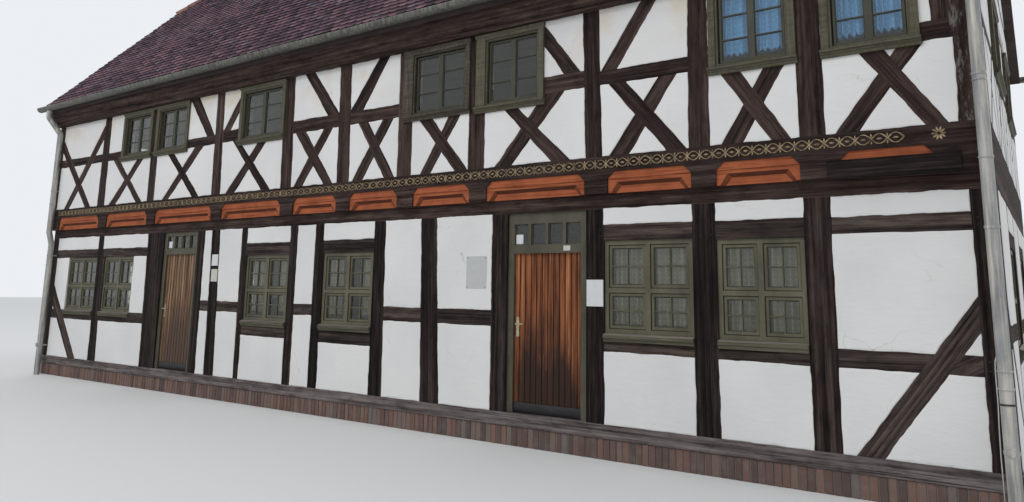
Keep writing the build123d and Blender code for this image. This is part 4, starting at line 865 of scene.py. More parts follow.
def plaster_skin(outline, out, seed):
    """A swollen sheet of plaster over a panel: the outline, pushed out unevenly over the timbers.

    Rings follow the outline's outward normals: on the timber, up a rounded edge, and in to the flat. Their
    insets shrink near the outline's corners, in step with the way to the nearest one.
    """
    out = np.array(out, float)
    right = np.cross(UP, out)
    base = resample(outline, SKIN_STEP)
    ahead = np.roll(base, -1, axis=0) - np.roll(base, 1, axis=0)
    ahead /= np.linalg.norm(ahead, axis=1)[:, None]
    aside = np.cross(ahead, out)
    lap = SKIN_LAP + SKIN_SWAY * (wobble(base, 0.6, seed) + 0.7 * wobble(base, 0.2, seed + 3))
    face = SKIN_PROUD * (0.8 + 0.2 * wobble(base, 0.8, seed + 7))
    nearest = np.linalg.norm(base[:, None] - outline[None], axis=2).min(axis=1)
    ease = np.clip(nearest / SKIN_CORNER, 0.2, 1)
    inset, share, start = np.array(SKIN_RINGS).T[..., None]
    push = lap - inset * ease
    lift = face * share + start + SKIN_START
    points = (base + aside * push[..., None] + out * lift[..., None]).reshape(-1, 3)
    count = len(base)
    last = (len(push) - 1) * count
    faces = [tuple(face) for face in grid_faces(len(push), count, True)]
    faces += lid(points[last:], right, last, False) + lid(points[:count], right, 0, True)
    return points, faces


def plaster(name, node, ways):
    """All the panels of a node that look the given ways, as one piece."""
    points, faces, start = [], [], 0
    for way in ways:
        right = np.cross(UP, np.array(way, float))
        for index, outline in enumerate(wall_outlines(node, way)):
            if flat_area(outline, right) < SKIN_SMALLEST:
                continue
            some_points, some_faces = plaster_skin(outline, way, index)
            points.append(some_points)
            faces += [tuple(corner + start for corner in face) for face in some_faces]
            start += len(some_points)
    return point_out(make_piece(name, np.concatenate(points), faces, "limewash", slot="plaster", smooth=True))


def all_plaster():
    """The skins on the panels of all four walls."""
    plaster("ground_front_plaster", "front_panels", [FRONT])
    plaster("upper_front_plaster", "front_upper_panels", [FRONT])
    plaster("rear_plaster", "rear_panels", [REAR])
    plaster("gable_plaster", "gable_panels", [LEFT, RIGHT])


# Roof tiles, with their form in metres and their shares of a tile's width

TILE_W = 0.180
TILE_L = 0.330
TILE_T = 0.015
TILE_SHOWN = 0.154
TILE_LIFT = 0.030
TILE_BOW = 0.032
TILE_OVER = 0.03
TILE_HALF_SHARE = 0.488
TILE_LEAST_SHARE = 0.3
TILE_TURN = 0.008
TILE_SLIP = 0.003
TILE_LOOSE = 0.005
TILE_SAG = 0.008
TILE_SAG_WAVE = 3.5
# Covered share given to a tile's underside points, which its material paints as shade on the tail's edge
TILE_UNDER = 0.6
TILE_TONE, TILE_TONE_SPREAD = 0.47, 0.25
TONE_DRIFT, TONE_DRIFT_WAVE = 0.12, 4.0
RIDGE_Z = ROOF_HIGH[2]
ROOF_FOOT_Y = ROOF_LOW[1]
ROOF_FOOT_Z = RIDGE_Z + ROOF_FOOT_Y * np.tan(PITCH)
HIP_HALF_W = HIP_HIGH[1]
HIP_FOOT_Z = RIDGE_Z - HIP_HALF_W * np.tan(PITCH)
VERGE_X = HIP_HIGH[0]
RIDGE_HALF = VERGE_X - (RIDGE_Z - HIP_FOOT_Z) / np.tan(HIP_PITCH)
ROOF_SLOPE = -ROOF_FOOT_Y / np.cos(PITCH)
HIP_SLOPE = (RIDGE_Z - HIP_FOOT_Z) / np.sin(HIP_PITCH)
HIP_START = (HIP_FOOT_Z - ROOF_FOOT_Z) / np.sin(PITCH)


def tile_form():
    """One plain tile: flat slab whose lower edge is a shallow arc, b = bow times (2a / width) squared."""
    a = np.array([-1, -0.42, 0.42, 1]) * TILE_W * TILE_HALF_SHARE
    tail = TILE_BOW * (2 * a / TILE_W) ** 2
    top = np.concatenate([np.column_stack([a, tail, np.full(4, TILE_LIFT + TILE_T)]),
                          np.column_stack([a, np.full(4, TILE_L), np.full(4, TILE_T)])])
    face = grid_faces(2, 4)
    loop = np.array([0, 1, 2, 3, 7, 6, 5, 4])
    ahead = np.roll(loop, -1)
    rim = np.stack([ahead, loop, loop + 8, ahead + 8], axis=1)
    return np.concatenate([top, top - TILE_T * UP]), np.concatenate([face, face[:, ::-1] + 8, rim])


def tile_field(name, foot, across, upward, length, half_width, seed):
    """Courses of plain tiles on a slope, every other one shifted half a tile, trimmed to its edges.

    A tile lies at foot + across * u + upward * s; half_width(s) is where the slope ends at s. Each tile has a
    tone, and each of its points the share of its length that is below it, or TILE_UNDER on its underside.
    """
    rng = np.random.default_rng(seed)
    across, upward = np.array(across, float), np.array(upward, float)
    normal = np.cross(across, upward)
    columns = int(np.ceil(half_width(0.0) / TILE_W)) + 1
    rows = np.arange(int(length / TILE_SHOWN))
    every = np.arange(-columns, columns + 1)
    s, u = np.meshgrid(rows * TILE_SHOWN - TILE_OVER, every * TILE_W, indexing="ij")
    u = u + (rows % 2)[:, None] * TILE_W / 2
    s, u = s.ravel(), u.ravel()
    keep = np.abs(u) < half_width(s + TILE_SHOWN / 2) + TILE_W * TILE_LEAST_SHARE
    s, u = s[keep], u[keep]
    flat = np.column_stack([u, s, s * 0])
    form, faces = tile_form()
    spin = rng.normal(0, TILE_TURN, len(s))[:, None]
    a = form[:, 0] * np.cos(spin) - form[:, 1] * np.sin(spin) + u[:, None]
    b = form[:, 0] * np.sin(spin) + form[:, 1] * np.cos(spin) + s[:, None]
    b = b + rng.normal(0, TILE_SLIP, len(s))[:, None]
    limit = half_width(b)
    a = np.clip(a, -limit, limit)
    b = np.minimum(b, length)
    sag = TILE_SAG * wobble(flat, TILE_SAG_WAVE, seed)
    c = form[:, 2] + (sag + rng.uniform(0, TILE_LOOSE, len(s)))[:, None]
    points = foot + a[..., None] * across + b[..., None] * upward + c[..., None] * normal
    piece = make_piece(name, points, repeated(faces, len(s), len(form)), "tile", slot="tiles")
    tones = rng.normal(TILE_TONE, TILE_TONE_SPREAD, len(s))
    tones = np.clip(tones + TONE_DRIFT * wobble(flat, TONE_DRIFT_WAVE, seed + 1), 0, 1)
    add_mark(piece.data, "tone", np.repeat(tones, len(form)))
    # The share below each point, which the tile material turns into painted light and shade
    hidden = np.where(np.arange(len(form)) < len(form) // 2, form[:, 1] / TILE_L, TILE_UNDER)
    add_mark(piece.data, "covered", np.tile(hidden, len(s)))


def main_half(s):
    """Half the width of a main slope at s: the verge's, then closing in a straight line to the ridge's."""
    share = np.clip((s - HIP_START) / (ROOF_SLOPE - HIP_START), 0, 1)
    return VERGE_X - share * (VERGE_X - RIDGE_HALF)


def hip_half(s):
    """Half the width of a half-hip at s, closing in a straight line to a point."""
    return HIP_HALF_W * (1 - np.clip(s * np.sin(HIP_PITCH) / (RIDGE_Z - HIP_FOOT_Z), 0, 1))


def roof_tiles():
    """The fields of both main slopes and both half-hips, each from the middle of its foot."""
    for name, way in (("roof_tiles_front", 1), ("roof_tiles_rear", -1)):
        foot = np.array([0, ROOF_FOOT_Y * way, ROOF_FOOT_Z])
        upward = (0, np.cos(PITCH) * way, np.sin(PITCH))
        tile_field(name, foot, (way, 0, 0), upward, ROOF_SLOPE, main_half, 11 + way)
    for name, way in (("hip_tiles_left", 1), ("hip_tiles_right", -1)):
        foot = np.array([-VERGE_X * way, 0, HIP_FOOT_Z])
        upward = (np.cos(HIP_PITCH) * way, 0, np.sin(HIP_PITCH))
        tile_field(name, foot, (0, -way, 0), upward, HIP_SLOPE, hip_half, 21 + way)


# Ridge and hip caps

CAP_L = 0.42
CAP_SHOWN = 0.355
CAP_R = 0.118
CAP_T = 0.016
CAP_DROP = 0.035
CAP_SPREAD = np.radians(98)
CAP_POINTS = 11
CAP_HEAD_SHARE = 0.90
CAP_PLAY = 0.004
CAP_TURN = 0.012
CAP_HARD_EDGE = np.radians(35)
RIDGE_PAST = 0.06
HIP_PAST_SHARE = 0.02


def cap_form():
    """One ridge tile: a half-round shell, wider at its tail, as angle by (outer and inner) by length."""
    angle = np.linspace(-CAP_SPREAD, CAP_SPREAD, CAP_POINTS)
    turn = np.concatenate([angle, angle[::-1]])
    radius = np.repeat([CAP_R, CAP_R - CAP_T], CAP_POINTS)
    x, z = np.sin(turn) * radius, np.cos(turn) * radius
    count = len(turn)
    points = np.concatenate([np.column_stack([x * share, np.full(count, y), z * share])
                             for share, y in ((CAP_HEAD_SHARE, CAP_L), (1.0, 0.0))])
    outer = np.arange(CAP_POINTS - 1)
    inner = count - 1 - outer
    end = np.stack([outer, outer + 1, inner - 1, inner], axis=1)
    return points, np.concatenate([grid_faces(2, count, True)[:, ::-1], end[:, ::-1], end + count])


def cap_run(start, end, seed):
    """Ridge tiles in a row from start up or along to end, each lapping over the one behind it."""
    rng = np.random.default_rng(seed)
    start, end = np.array(start, float), np.array(end, float)
    length = np.linalg.norm(end - start)
    along = (end - start) / length
    aside = np.cross(along, UP)
    aside /= np.linalg.norm(aside)
    over = np.cross(aside, along)
    count = max(2, int(round((length - CAP_L) / CAP_SHOWN)) + 1)
    places = start + along * np.linspace(0, length - CAP_L, count)[:, None]
    places = places + over * rng.uniform(-CAP_PLAY, CAP_PLAY, count)[:, None]
    spin = rng.normal(0, CAP_TURN, count)
    axes = np.stack([aside, along, over], axis=1)
    turns = np.array([axes @ np.array([[np.cos(t), 0, np.sin(t)], [0, 1, 0], [-np.sin(t), 0, np.cos(t)]])
                      for t in spin])
    return copies(*cap_form(), turns, places)


def ridge_caps():
    """The ridge's tiles and those of the four hips, in place of the plain rolls."""
    low = RIDGE_Z - CAP_DROP
    reach = RIDGE_HALF + RIDGE_PAST
    runs = [((-reach, 0, low), (reach, 0, low))]
    for x in (-1, 1):
        for y in (-1, 1):
            foot = np.array((VERGE_X * x, HIP_HALF_W * y, HIP_FOOT_Z - CAP_DROP))
            top = np.array((RIDGE_HALF * x, 0, low))
            runs.append((foot + (top - foot) * HIP_PAST_SHARE, top))
    points, faces = joined([cap_run(start, end, 31 + index) for index, (start, end) in enumerate(runs)])
    piece = make_piece("ridge_and_hip_caps", points, faces, "ridge", slot="tiles", smooth=True)
    each = 4 * CAP_POINTS
    tones = np.random.default_rng(5).uniform(0, 1, len(points) // each)
    add_mark(piece.data, "tone", np.repeat(tones, each))
    piece.data.set_sharp_from_angle(angle=CAP_HARD_EDGE)
    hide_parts("ridge_tiles")


# Plinth

BRICK_W = 0.071
BRICK_JOINT = 0.011
BRICK_OUT = 0.010
BRICK_DEEP = 0.06
BRICK_BEVEL = 0.006
BRICK_CLEAR = 0.004
BRICK_SHIFT = 0.0012
BRICK_UNEVEN = 0.0025
QUARTER_TURN = np.array([[0, -1, 0], [1, 0, 0], [0, 0, 1.0]])


def plinth_bricks():
    """Bricks on edge all round the plinth, a hand's breadth each, standing a little proud of the mortar."""
    rng = np.random.default_rng(3)
    height = PLINTH_HIGH[2] - PLINTH_LOW[2] - 2 * BRICK_CLEAR
    form, faces = billet((BRICK_W, BRICK_DEEP, height), BRICK_BEVEL)
    places, turns = [], []
    for axis, way in ((0, 1), (0, -1), (1, 1), (1, -1)):
        span = PLINTH_HIGH[axis] - PLINTH_LOW[axis]
        count = int(round(span / (BRICK_W + BRICK_JOINT)))
        at = PLINTH_LOW[axis] + (np.arange(count) + 0.5) * span / count
        edge = (PLINTH_HIGH if way > 0 else PLINTH_LOW)[1 - axis] + way * (BRICK_OUT - BRICK_DEEP / 2)
        rows = np.zeros((count, 3))
        rows[:, axis] = at + rng.normal(0, BRICK_SHIFT, count)
        rows[:, 1 - axis] = edge + rng.normal(0, BRICK_UNEVEN, count)
        rows[:, 2] = height / 2 + BRICK_CLEAR
        places.append(rows)
        turns.append(np.repeat((AXES if axis == 0 else QUARTER_TURN)[None], count, axis=0))
    places = np.concatenate(places)
    points, all_faces = copies(form, faces, np.concatenate(turns), places)
    piece = make_piece("plinth_bricks", points, all_faces, "brick", slot="brick")
    add_mark(piece.data, "tone", np.repeat(rng.uniform(0, 1, len(places)), len(form)))
    point_out(piece)


# Windows

BAR_W = 0.022
BAR_DEEP = 0.030
STILE_W = 0.038
# A bar's section in shares of its width and depth, then closed profiles of the thin strips of painted shade
# round the sashes and of the putty, as (inset from the edge, proud of the face)
BAR_SECTION = ((-0.5, 0.5), (0.5, 0.5), (0.5, 0.1), (0.28, -0.5), (-0.28, -0.5), (-0.5, 0.1))
GAP_PROFILE = ((0, -0.002), (0, 0.0012), (0.007, 0.0012), (0.007, -0.002))
WIDE_GAP_PROFILE = ((0, -0.002), (0, 0.0012), (0.013, 0.0012), (0.013, -0.002))
PUTTY_PROFILE = ((-0.001, -0.001), (-0.001, 0.009), (0.002, 0.009), (0.011, 0.001), (0.011, -0.001))


def bar_between(start, end, across, deep):
    """A glazing bar from start to end: a tapered section, narrow outside and wide inside."""
    wide, thick = np.array(BAR_SECTION).T[..., None]
    ring = across * BAR_W * wide + deep * BAR_DEEP * thick
    middle = np.zeros((len(ring), 3))
    layers = [start + middle, start + ring, end + ring, end + middle]
    return np.concatenate(layers), grid_faces(len(layers), len(ring), True)


def sash_bars(name, node, columns, rows, finish):
    """Bars that divide each sash's pane into columns and rows, in whichever wall the sash stands."""
    parts = []
    for low, high in solid_boxes(node):
        thin, wide, outward = wall_axes(low, high)
        for axis, span, count in ((wide, 2, columns), (2, wide, rows)):
            for k in range(1, count):
                start = (low + high) / 2
                start[axis] = low[axis] + (high - low)[axis] * k / count
                end = start.copy()
                start[span], end[span] = low[span] + STILE_W, high[span] - STILE_W
                parts.append(bar_between(start, end, AXES[axis], -outward * AXES[thin]))
    point_out(make_piece(name, *joined(parts), finish, slot="window_paint"))


def mitred_ring(low, high, profile):
    """A moulding round a rectangle in a wall: its closed profile carried to the four corners.

    At a corner, wide = middle + side * (half width - inset), and z = middle + level * (half height - inset).
    """
    thin, wide, outward = wall_axes(low, high)
    face = low[thin] if outward < 0 else high[thin]
    middle, half = (low + high) / 2, (high - low) / 2
    inset, proud = np.array(profile, float).T
    side, level = np.array([-1, 1, 1, -1])[:, None], np.array([-1, -1, 1, 1])[:, None]
    points = np.empty((4, len(profile), 3))
    points[..., wide] = middle[wide] + side * (half[wide] - inset)
    points[..., 2] = middle[2] + level * (half[2] - inset)
    points[..., thin] = face + outward * proud
    return points.reshape(-1, 3), grid_faces(4, len(profile), True, True)


def rings(name, nodes, profile, finish):
    """The same moulding round every solid of some nodes."""
    parts = [mitred_ring(low, high, profile) for node in nodes for low, high in solid_boxes(node)]
    point_out(make_piece(name, *joined(parts), finish, slot="window_paint"))


def window_trim():
    """Glazing bars, near-black strips of painted shade in the gaps round the sashes, and putty round the
    panes.
    """
    sash_bars("ground_glazing_bars", "ground_sashes", 2, 2, "olive")
    sash_bars("upper_glazing_bars", "upper_sashes", 1, 3, "sash")
    # Painted shade: near-black strips along each sash's edges, where the gap round it lies in shade
    rings("ground_sash_gap_shade", ["ground_sashes"], GAP_PROFILE, "gap")
    rings("upper_sash_gap_shade", ["upper_sashes"], WIDE_GAP_PROFILE, "gap")
    rings("putty_beads", ["window_glass", "door_top_glass"], PUTTY_PROFILE, "sash")


# Pegs in the timber joints

PEG_R = 0.011
PEG_OUT = 0.004
PEG_RISE = (-1, 0.6, 1, 1.1)
PEG_TAPER = (1, 1, 0.8, 0.3)
PEG_IN = 0.05
PEG_EDGE = 0.055
PEG_CLEAR = 0.02
RAIL_TALLEST = 0.35
RAIL_SHORTEST = 0.1


def peg(point, out):
    """A low dome on a face, with out the way that the face looks."""
    path = point + out * (PEG_OUT * np.array(PEG_RISE))[:, None]
    return sweep(path, PEG_R, 8, PEG_TAPER)


def wall_pegs(rails, posts):
    """Two pegs where each rail meets a post: on the post, beside the rail's end, a hand from its edges."""
    post_low, post_high = np.array(solid_boxes(posts)).transpose(1, 0, 2)
    parts = []
    for low, high in solid_boxes(rails):
        thin, wide, outward = wall_axes(low, high)
        if high[2] - low[2] > RAIL_TALLEST or high[wide] - low[wide] < RAIL_SHORTEST:
            continue
        same_wall = np.abs(post_low[:, thin] + post_high[:, thin] - low[thin] - high[thin]) < PEG_CLEAR
        for at in (low[wide] - PEG_IN, high[wide] + PEG_IN):
            for level in (low[2] + PEG_EDGE, high[2] - PEG_EDGE):
                spot = np.array([at, level])
                above = (spot > post_low[:, [wide, 2]] + PEG_CLEAR).all(axis=1)
                below = (spot < post_high[:, [wide, 2]] - PEG_CLEAR).all(axis=1)
                post = np.flatnonzero(same_wall & above & below)
                if len(post):
                    point = at * AXES[wide] + level * UP
                    point[thin] = (post_low if outward < 0 else post_high)[post[0], thin]
                    parts.append(peg(point, outward * AXES[thin]))
    return parts


def joint_pegs():
    """The pegs of all four walls, as one piece."""
    parts = []
    for rails, posts in (("front_rails", "front_posts"), ("front_upper_rails", "front_upper_posts"),
                         ("rear_rails", "rear_posts"), ("gable_rails", "gable_posts")):
        parts += wall_pegs(rails, posts)
    point_out(make_piece("oak_joint_pegs", *joined(parts), "rail_oak", slot="oak"))


# Gutter beads and pipe trim. Profiles are closed, as (out from the radius, along the axis).

BEAD_R = 0.007
PIPE_R = 0.058
PIPE_OUT = 0.095
LEFT_PIPE_BACK = 0.07
RIGHT_COLLARS = (3.53, 2.80, 0.90, 0.75)
LEFT_UPPER_COLLAR = 3.30
LEFT_LOWER_COLLARS = (1.95, 0.85)
HATCH_R = 0.036
HATCH_Z = 0.23
HATCH_OUT = 0.013
ROD_CLEAR = 0.012
EARTH_ROD_R = 0.005
EARTH_CLIP_Z = 0.62
EARTH_ROD = ((0.014, 0, 1.02), (0.004, -0.004, 0.98), (0, -0.006, 0.9), (0, -0.006, 0.62),
             (-0.008, -0.004, 0.40), (-0.012, 0, 0.20), (-0.012, 0, 0.04), (-0.012, 0, -0.39))
HATCH_PROFILE = ((-0.006, -0.003), (0.0, -0.006), (0.006, -0.003), (0.006, 0.003), (-0.006, 0.003))
CLIP_PROFILE = ((-0.001, -0.008), (0.0075, -0.008), (0.0075, 0.008), (-0.001, 0.008))
COLLAR_PROFILE = ((-0.001, -0.012), (0.005, -0.010), (0.0065, 0.0), (0.005, 0.010), (-0.001, 0.012))


def gutter_beads():
    """The rolled outer edge of every gutter: a round rod along the rim."""
    parts = []
    for low, high in solid_boxes("gutters"):
        thin, long, outward = wall_axes(low, high)
        path = np.zeros((6, 3))
        path[:, long] = np.linspace(low[long], high[long], 6)
        path[:, thin] = (high if outward > 0 else low)[thin] - outward * BEAD_R
        path[:, 2] = high[2] - BEAD_R * 0.5
        parts.append(sweep(path, BEAD_R, 8))
    point_out(make_piece("rolled_gutter_edges", *joined(parts), "zinc", slot="zinc", smooth=True))


def turned_ring(profile, radius, centre, axis, sides=28):
    """A ring turned about an axis from a closed profile of (out from the radius, along the axis).

    A point is centre + (radius + out) * (cos turn, sin turn) across the axis, and centre + along on it.
    """
    turn = np.linspace(0, 2 * np.pi, sides, endpoint=False)[:, None]
    first, second = [k for k in range(3) if k != axis]
    out, along = np.array(profile, float).T
    points = np.empty((sides, len(profile), 3))
    points[..., first] = (radius + out) * np.cos(turn)
    points[..., second] = (radius + out) * np.sin(turn)
    points[..., axis] = along
    return (points + centre).reshape(-1, 3), grid_faces(sides, len(profile), True, True)


def pipe_trim():
    """Soldered collars on both pipes, the hatches' rims, and a thin earth rod by the right pipe's foot."""
    boxes = sorted(solid_boxes("downpipes"), key=lambda box: box[0][0])
    left_x, right_x = [(low[0] + high[0]) / 2 for low, high in boxes]
    y = UPPER_FACE - PIPE_OUT
    back = y + LEFT_PIPE_BACK
    collars = [(right_x, y, z) for z in RIGHT_COLLARS] + [(left_x, y, LEFT_UPPER_COLLAR)]
    collars += [(left_x, back, z) for z in LEFT_LOWER_COLLARS]
    parts = [turned_ring(COLLAR_PROFILE, PIPE_R, np.array([x, depth, SILL_TOP + z]), 2)
             for x, depth, z in collars]
    for x, depth in ((right_x, y), (left_x, back)):
        centre = np.array([x, depth - PIPE_R - HATCH_OUT, SILL_TOP + HATCH_Z])
        parts.append(turned_ring(HATCH_PROFILE, HATCH_R, centre, 1))
    point_out(make_piece("pipe_collars", *joined(parts), "zinc", slot="zinc", smooth=True))
    path = np.array(EARTH_ROD) + np.array([right_x - PIPE_R - ROD_CLEAR, y, SILL_TOP])
    rod = sweep(path, EARTH_ROD_R, 8)
    clip = turned_ring(CLIP_PROFILE, PIPE_R, np.array([right_x, y, SILL_TOP + EARTH_CLIP_Z]), 2)
    point_out(make_piece("earth_rod", *rod, "bright_zinc", slot="zinc", smooth=True))
    point_out(make_piece("earth_rod_clip", *clip, "iron", slot="steel", smooth=True))


# Nets

NET_T = 0.0006
NET_ROWS = 26
FOLD_COLUMNS = 14
FOLD_DEEPEST = 0.3
FOLD_SHIFT = 0.035
FOLD_DRIFT = 0.5
DRIFT_RATE = 2.2
HALVINGS = 40
SCALLOP_H = 0.035
ROD_R = 0.006
UPPER_NET_Y = UPPER_FACE - GROUND_FACE + 0.105
GROUND_NET_Y = 0.125
UPPER_NET_L = 0.725
GROUND_NET_L = 0.94
# Each rod's ends and height, then the scallops of its nets' hems, and each net's edges, flat width and folds
UPPER_RODS = ((15.520, 16.276, 4.925, 11, ((15.545, 16.250, 1.25, 9),)),
              (16.744, 17.460, 4.925, 10, ((16.770, 17.435, 1.20, 8),)))
GROUND_RODS = ((13.979, 15.111, 2.085, 0, ((14.03, 14.50, 0.80, 5), (14.59, 15.06, 0.80, 5))),
               (15.389, 16.341, 2.065, 0, ((15.44, 15.82, 0.66, 4), (15.91, 16.29, 0.66, 4))),
               (8.960, 10.070, 2.07, 0, ((9.02, 9.34, 0.62, 4), (9.70, 10.02, 0.62, 4))),
               (7.000, 8.130, 2.07, 0, ((7.06, 7.36, 0.60, 4), (7.78, 8.08, 0.60, 4))))


def fold_depth(line, wave, flat_w):
    """How deep the folds are, by halving, so that the line across is as long as the cloth is wide."""
    low, high = 0.0, FOLD_DEEPEST
    for _ in range(HALVINGS):
        middle = (low + high) / 2
        if np.hypot(np.diff(line), np.diff(wave * middle)).sum() < flat_w:
            low = middle
        else:
            high = middle
    return middle


def net(name, x0, x1, top, length, y, folds, flat_w, scallops, finish, seed):
    """A net hung in folds: its depth is a sine along its width, with a phase that drifts down the net.

    A scalloped hem is a row of arcs, each as deep as a half wave of a sine.
    """
    rng = np.random.default_rng(seed)
    columns = folds * FOLD_COLUMNS + 1
    u, t = np.linspace(0, 1, columns), np.linspace(0, 1, NET_ROWS)[:, None]
    phase = 2 * np.pi * folds * (u + FOLD_SHIFT * np.sin(4 * np.pi * u + rng.uniform(0, 6)))
    line = LEFT_CORNER + x0 + (x1 - x0) * u
    depth = fold_depth(line, np.sin(phase), flat_w)
    drift = FOLD_DRIFT * np.sin(DRIFT_RATE * t + rng.uniform(0, 6)) * np.sin(np.pi * u)
    swing = depth * np.sin(phase + drift)
    hem = SCALLOP_H * (1 - np.abs(np.sin(np.pi * scallops * u))) if scallops else 0 * u
    drop = (length - hem) * t
    along = np.broadcast_to(line, swing.shape)
    front = np.stack([along, GROUND_FACE + y + swing, SILL_TOP + top - drop], axis=-1).reshape(-1, 3)
    count = len(front)
    face = grid_faces(NET_ROWS, columns)
    numbers = np.arange(count).reshape(NET_ROWS, columns)
    edge = np.concatenate([numbers[0], numbers[1:, -1], numbers[-1, -2::-1], numbers[-2:0:-1, 0]])
    ahead = np.roll(edge, -1)
    rim = np.stack([edge, ahead, ahead + count, edge + count], axis=1)
    points = np.concatenate([front, front + np.array([0, NET_T, 0])])
    faces = np.concatenate([face, face[:, ::-1] + count, rim])
    piece = make_piece(name, points, faces, finish, slot="plaster", smooth=True)
    across, down = np.broadcast_arrays(u * flat_w, t * length)
    spot = np.tile(np.column_stack([across.ravel(), down.ravel()]), (2, 1))
    corners = np.empty(len(piece.data.loops), dtype=np.int32)
    piece.data.loops.foreach_get("vertex_index", corners)
    piece.data.uv_layers.new(name="cloth").data.foreach_set("uv", spot[corners].astype(np.float32).ravel())
    point_out(piece)


def nets():
    """Nets behind two upper windows and behind the sashes of four ground ones, each window's on a rod."""
    rods, count = [], 0
    for hangings, y, length, finish in ((UPPER_RODS, UPPER_NET_Y, UPPER_NET_L, "upper_net"),
                                        (GROUND_RODS, GROUND_NET_Y, GROUND_NET_L, "ground_net")):
        for left, right, top, scallops, cloths in hangings:
            start = np.array([LEFT_CORNER + left, GROUND_FACE + y, SILL_TOP + top])
            path = start + (right - left) * AXES[0] * np.linspace(0, 1, 5)[:, None]
            rods.append(sweep(path, ROD_R, 10))
            for x0, x1, flat_w, folds in cloths:
                count += 1
                net(f"net_{count}", x0, x1, top, length, y, folds, flat_w, scallops, finish, 40 + count)
    point_out(make_piece("net_rods", *joined(rods), "brass", slot="brass", smooth=True))


# Doors

BOARD_PITCH = 0.083
BOARD_GROOVE = 0.0045
BOARD_BEVEL = BOARD_GROOVE * 1.6
BOARD_SEEDS = {"left": 4, "right": 5}
SEAM_SOFT = 0.0105
LEAF_EDGE = 0.002
LEAF_BACK_IN = 0.001
WEATHERBOARD_H = 0.12
WEATHERBOARD_OUT = 0.024
WEATHERBOARD_INSET = 0.024
WEATHERBOARD_CLEAR = 0.004
WEATHERBOARD_LET_IN = 0.004
LEDGE_H = 0.12
LEDGE_T = 0.026
LEDGE_BEVEL = 0.006
LEDGE_INSET = 0.08
LEDGE_ASIDE = 0.02
LEDGE_OUT = 0.0115
LEDGE_LOW, LEDGE_HIGH = 0.42, 0.38


def door_piece(side, name, points, faces, finish):
    """A piece that rides on one of the door leaves."""
    piece = make_piece(f"{side}_{name}", points, faces, finish, body=f"{side}_door", slot="door_wood")
    return point_out(piece)


def face_depth(node):
    """Depth of the leaf's outer face, behind its weatherboard."""
    faces = wall_outlines(node, FRONT)
    best = max(faces, key=lambda outline: flat_area(outline, AXES[0]))
    return float(best[:, 1].mean())


def boarded_leaf(side, low, high, outer):
    """A leaf of upright boards: across the door the face is a row of flats with v-shaped grooves between.

    The outline (along, depth) is closed round the back and carried straight up, then capped.
    """
    width = high[0] - low[0]
    count = int(round(width / BOARD_PITCH))
    pitch = width / count
    near = np.array([BOARD_GROOVE, BOARD_BEVEL, SEAM_SOFT])
    steps = np.concatenate([near, pitch - near[::-1], [pitch]])
    u = (low[0] + np.arange(count)[:, None] * pitch + steps).ravel()[:-1]
    y = outer + BOARD_GROOVE * np.tile([0.5, 0, 0, 0, 0, 0.5, 2], count)[:-1]
    dark = np.append(np.tile([1, 0.7, 0, 0, 0.7, 1, 1], count)[:-1], [0, 0])
    back = [(high[0] - LEAF_BACK_IN, high[1]), (low[0] + LEAF_BACK_IN, high[1])]
    ring = np.concatenate([np.column_stack([u, y]), back])
    n = len(ring)
    levels = [low[2], low[2] + LEAF_EDGE, high[2] - LEAF_EDGE, high[2]]
    points = np.concatenate([np.column_stack([ring, np.full(n, level)]) for level in levels])
    faces = [tuple(face) for face in grid_faces(len(levels), n, True)]
    faces += [tuple(range(n))[::-1], tuple(range(3 * n, 4 * n))]
    piece = door_piece(side, "boarded_leaf", points, faces, f"{side}_door")
    board = np.clip(((points[:, 0] - low[0]) / pitch).astype(int), 0, count - 1)
    add_mark(piece.data, "tone", np.random.default_rng(BOARD_SEEDS[side]).uniform(0, 1, count)[board])
    add_mark(piece.data, "seam", np.tile(dark, len(levels)))
    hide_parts(f"{side}_door_leaf")


def weatherboard(side, low, high, outer):
    """The moulded board across the foot of the leaf, swept along x.

    It stands out by 0.35 of WEATHERBOARD_OUT and 0.65 of it times a sine up its height to the power 0.8.
    """
    t = np.linspace(0, 1, 9)
    out = WEATHERBOARD_OUT * (0.35 + 0.65 * np.sin(t * np.pi * 0.9) ** 0.8)
    z = low[2] + WEATHERBOARD_CLEAR + WEATHERBOARD_H * t
    back = outer + WEATHERBOARD_LET_IN
    profile = np.concatenate([np.column_stack([outer - out, z]), [(back, z[-1]), (back, z[0])]])
    middle = profile.mean(axis=0)
    start, end = low[0] + WEATHERBOARD_INSET, high[0] - WEATHERBOARD_INSET
    points = np.concatenate([np.column_stack([np.full(len(profile), x), middle + (profile - middle) * scale])
                             for x, scale in ((start, 0), (start, 1), (end, 1), (end, 0))])
    door_piece(side, "weatherboard", points, grid_faces(4, len(profile), True), "weatherboard")


def ledges(side, low, high):
    """Two ledges across the inner face, as boarded doors have."""
    form, faces = billet((high[0] - low[0] - 2 * LEDGE_INSET, LEDGE_T, LEDGE_H), LEDGE_BEVEL)
    x, y = (low[0] + high[0]) / 2 - LEDGE_ASIDE, high[1] + LEDGE_OUT
    parts = [(form + np.array([x, y, z]), faces) for z in (low[2] + LEDGE_LOW, high[2] - LEDGE_HIGH)]
    door_piece(side, "door_ledges", *joined(parts), f"{side}_door")


def doors():
    """A boarded leaf in place of each plain one, with a weatherboard outside and ledges inside."""
    for side in ("left", "right"):
        low, high = node_box(f"{side}_door_leaf")
        outer = face_depth(f"{side}_door_leaf")
        boarded_leaf(side, low, high, outer)
        weatherboard(side, low, high, outer)
        ledges(side, low, high)


# Ornament

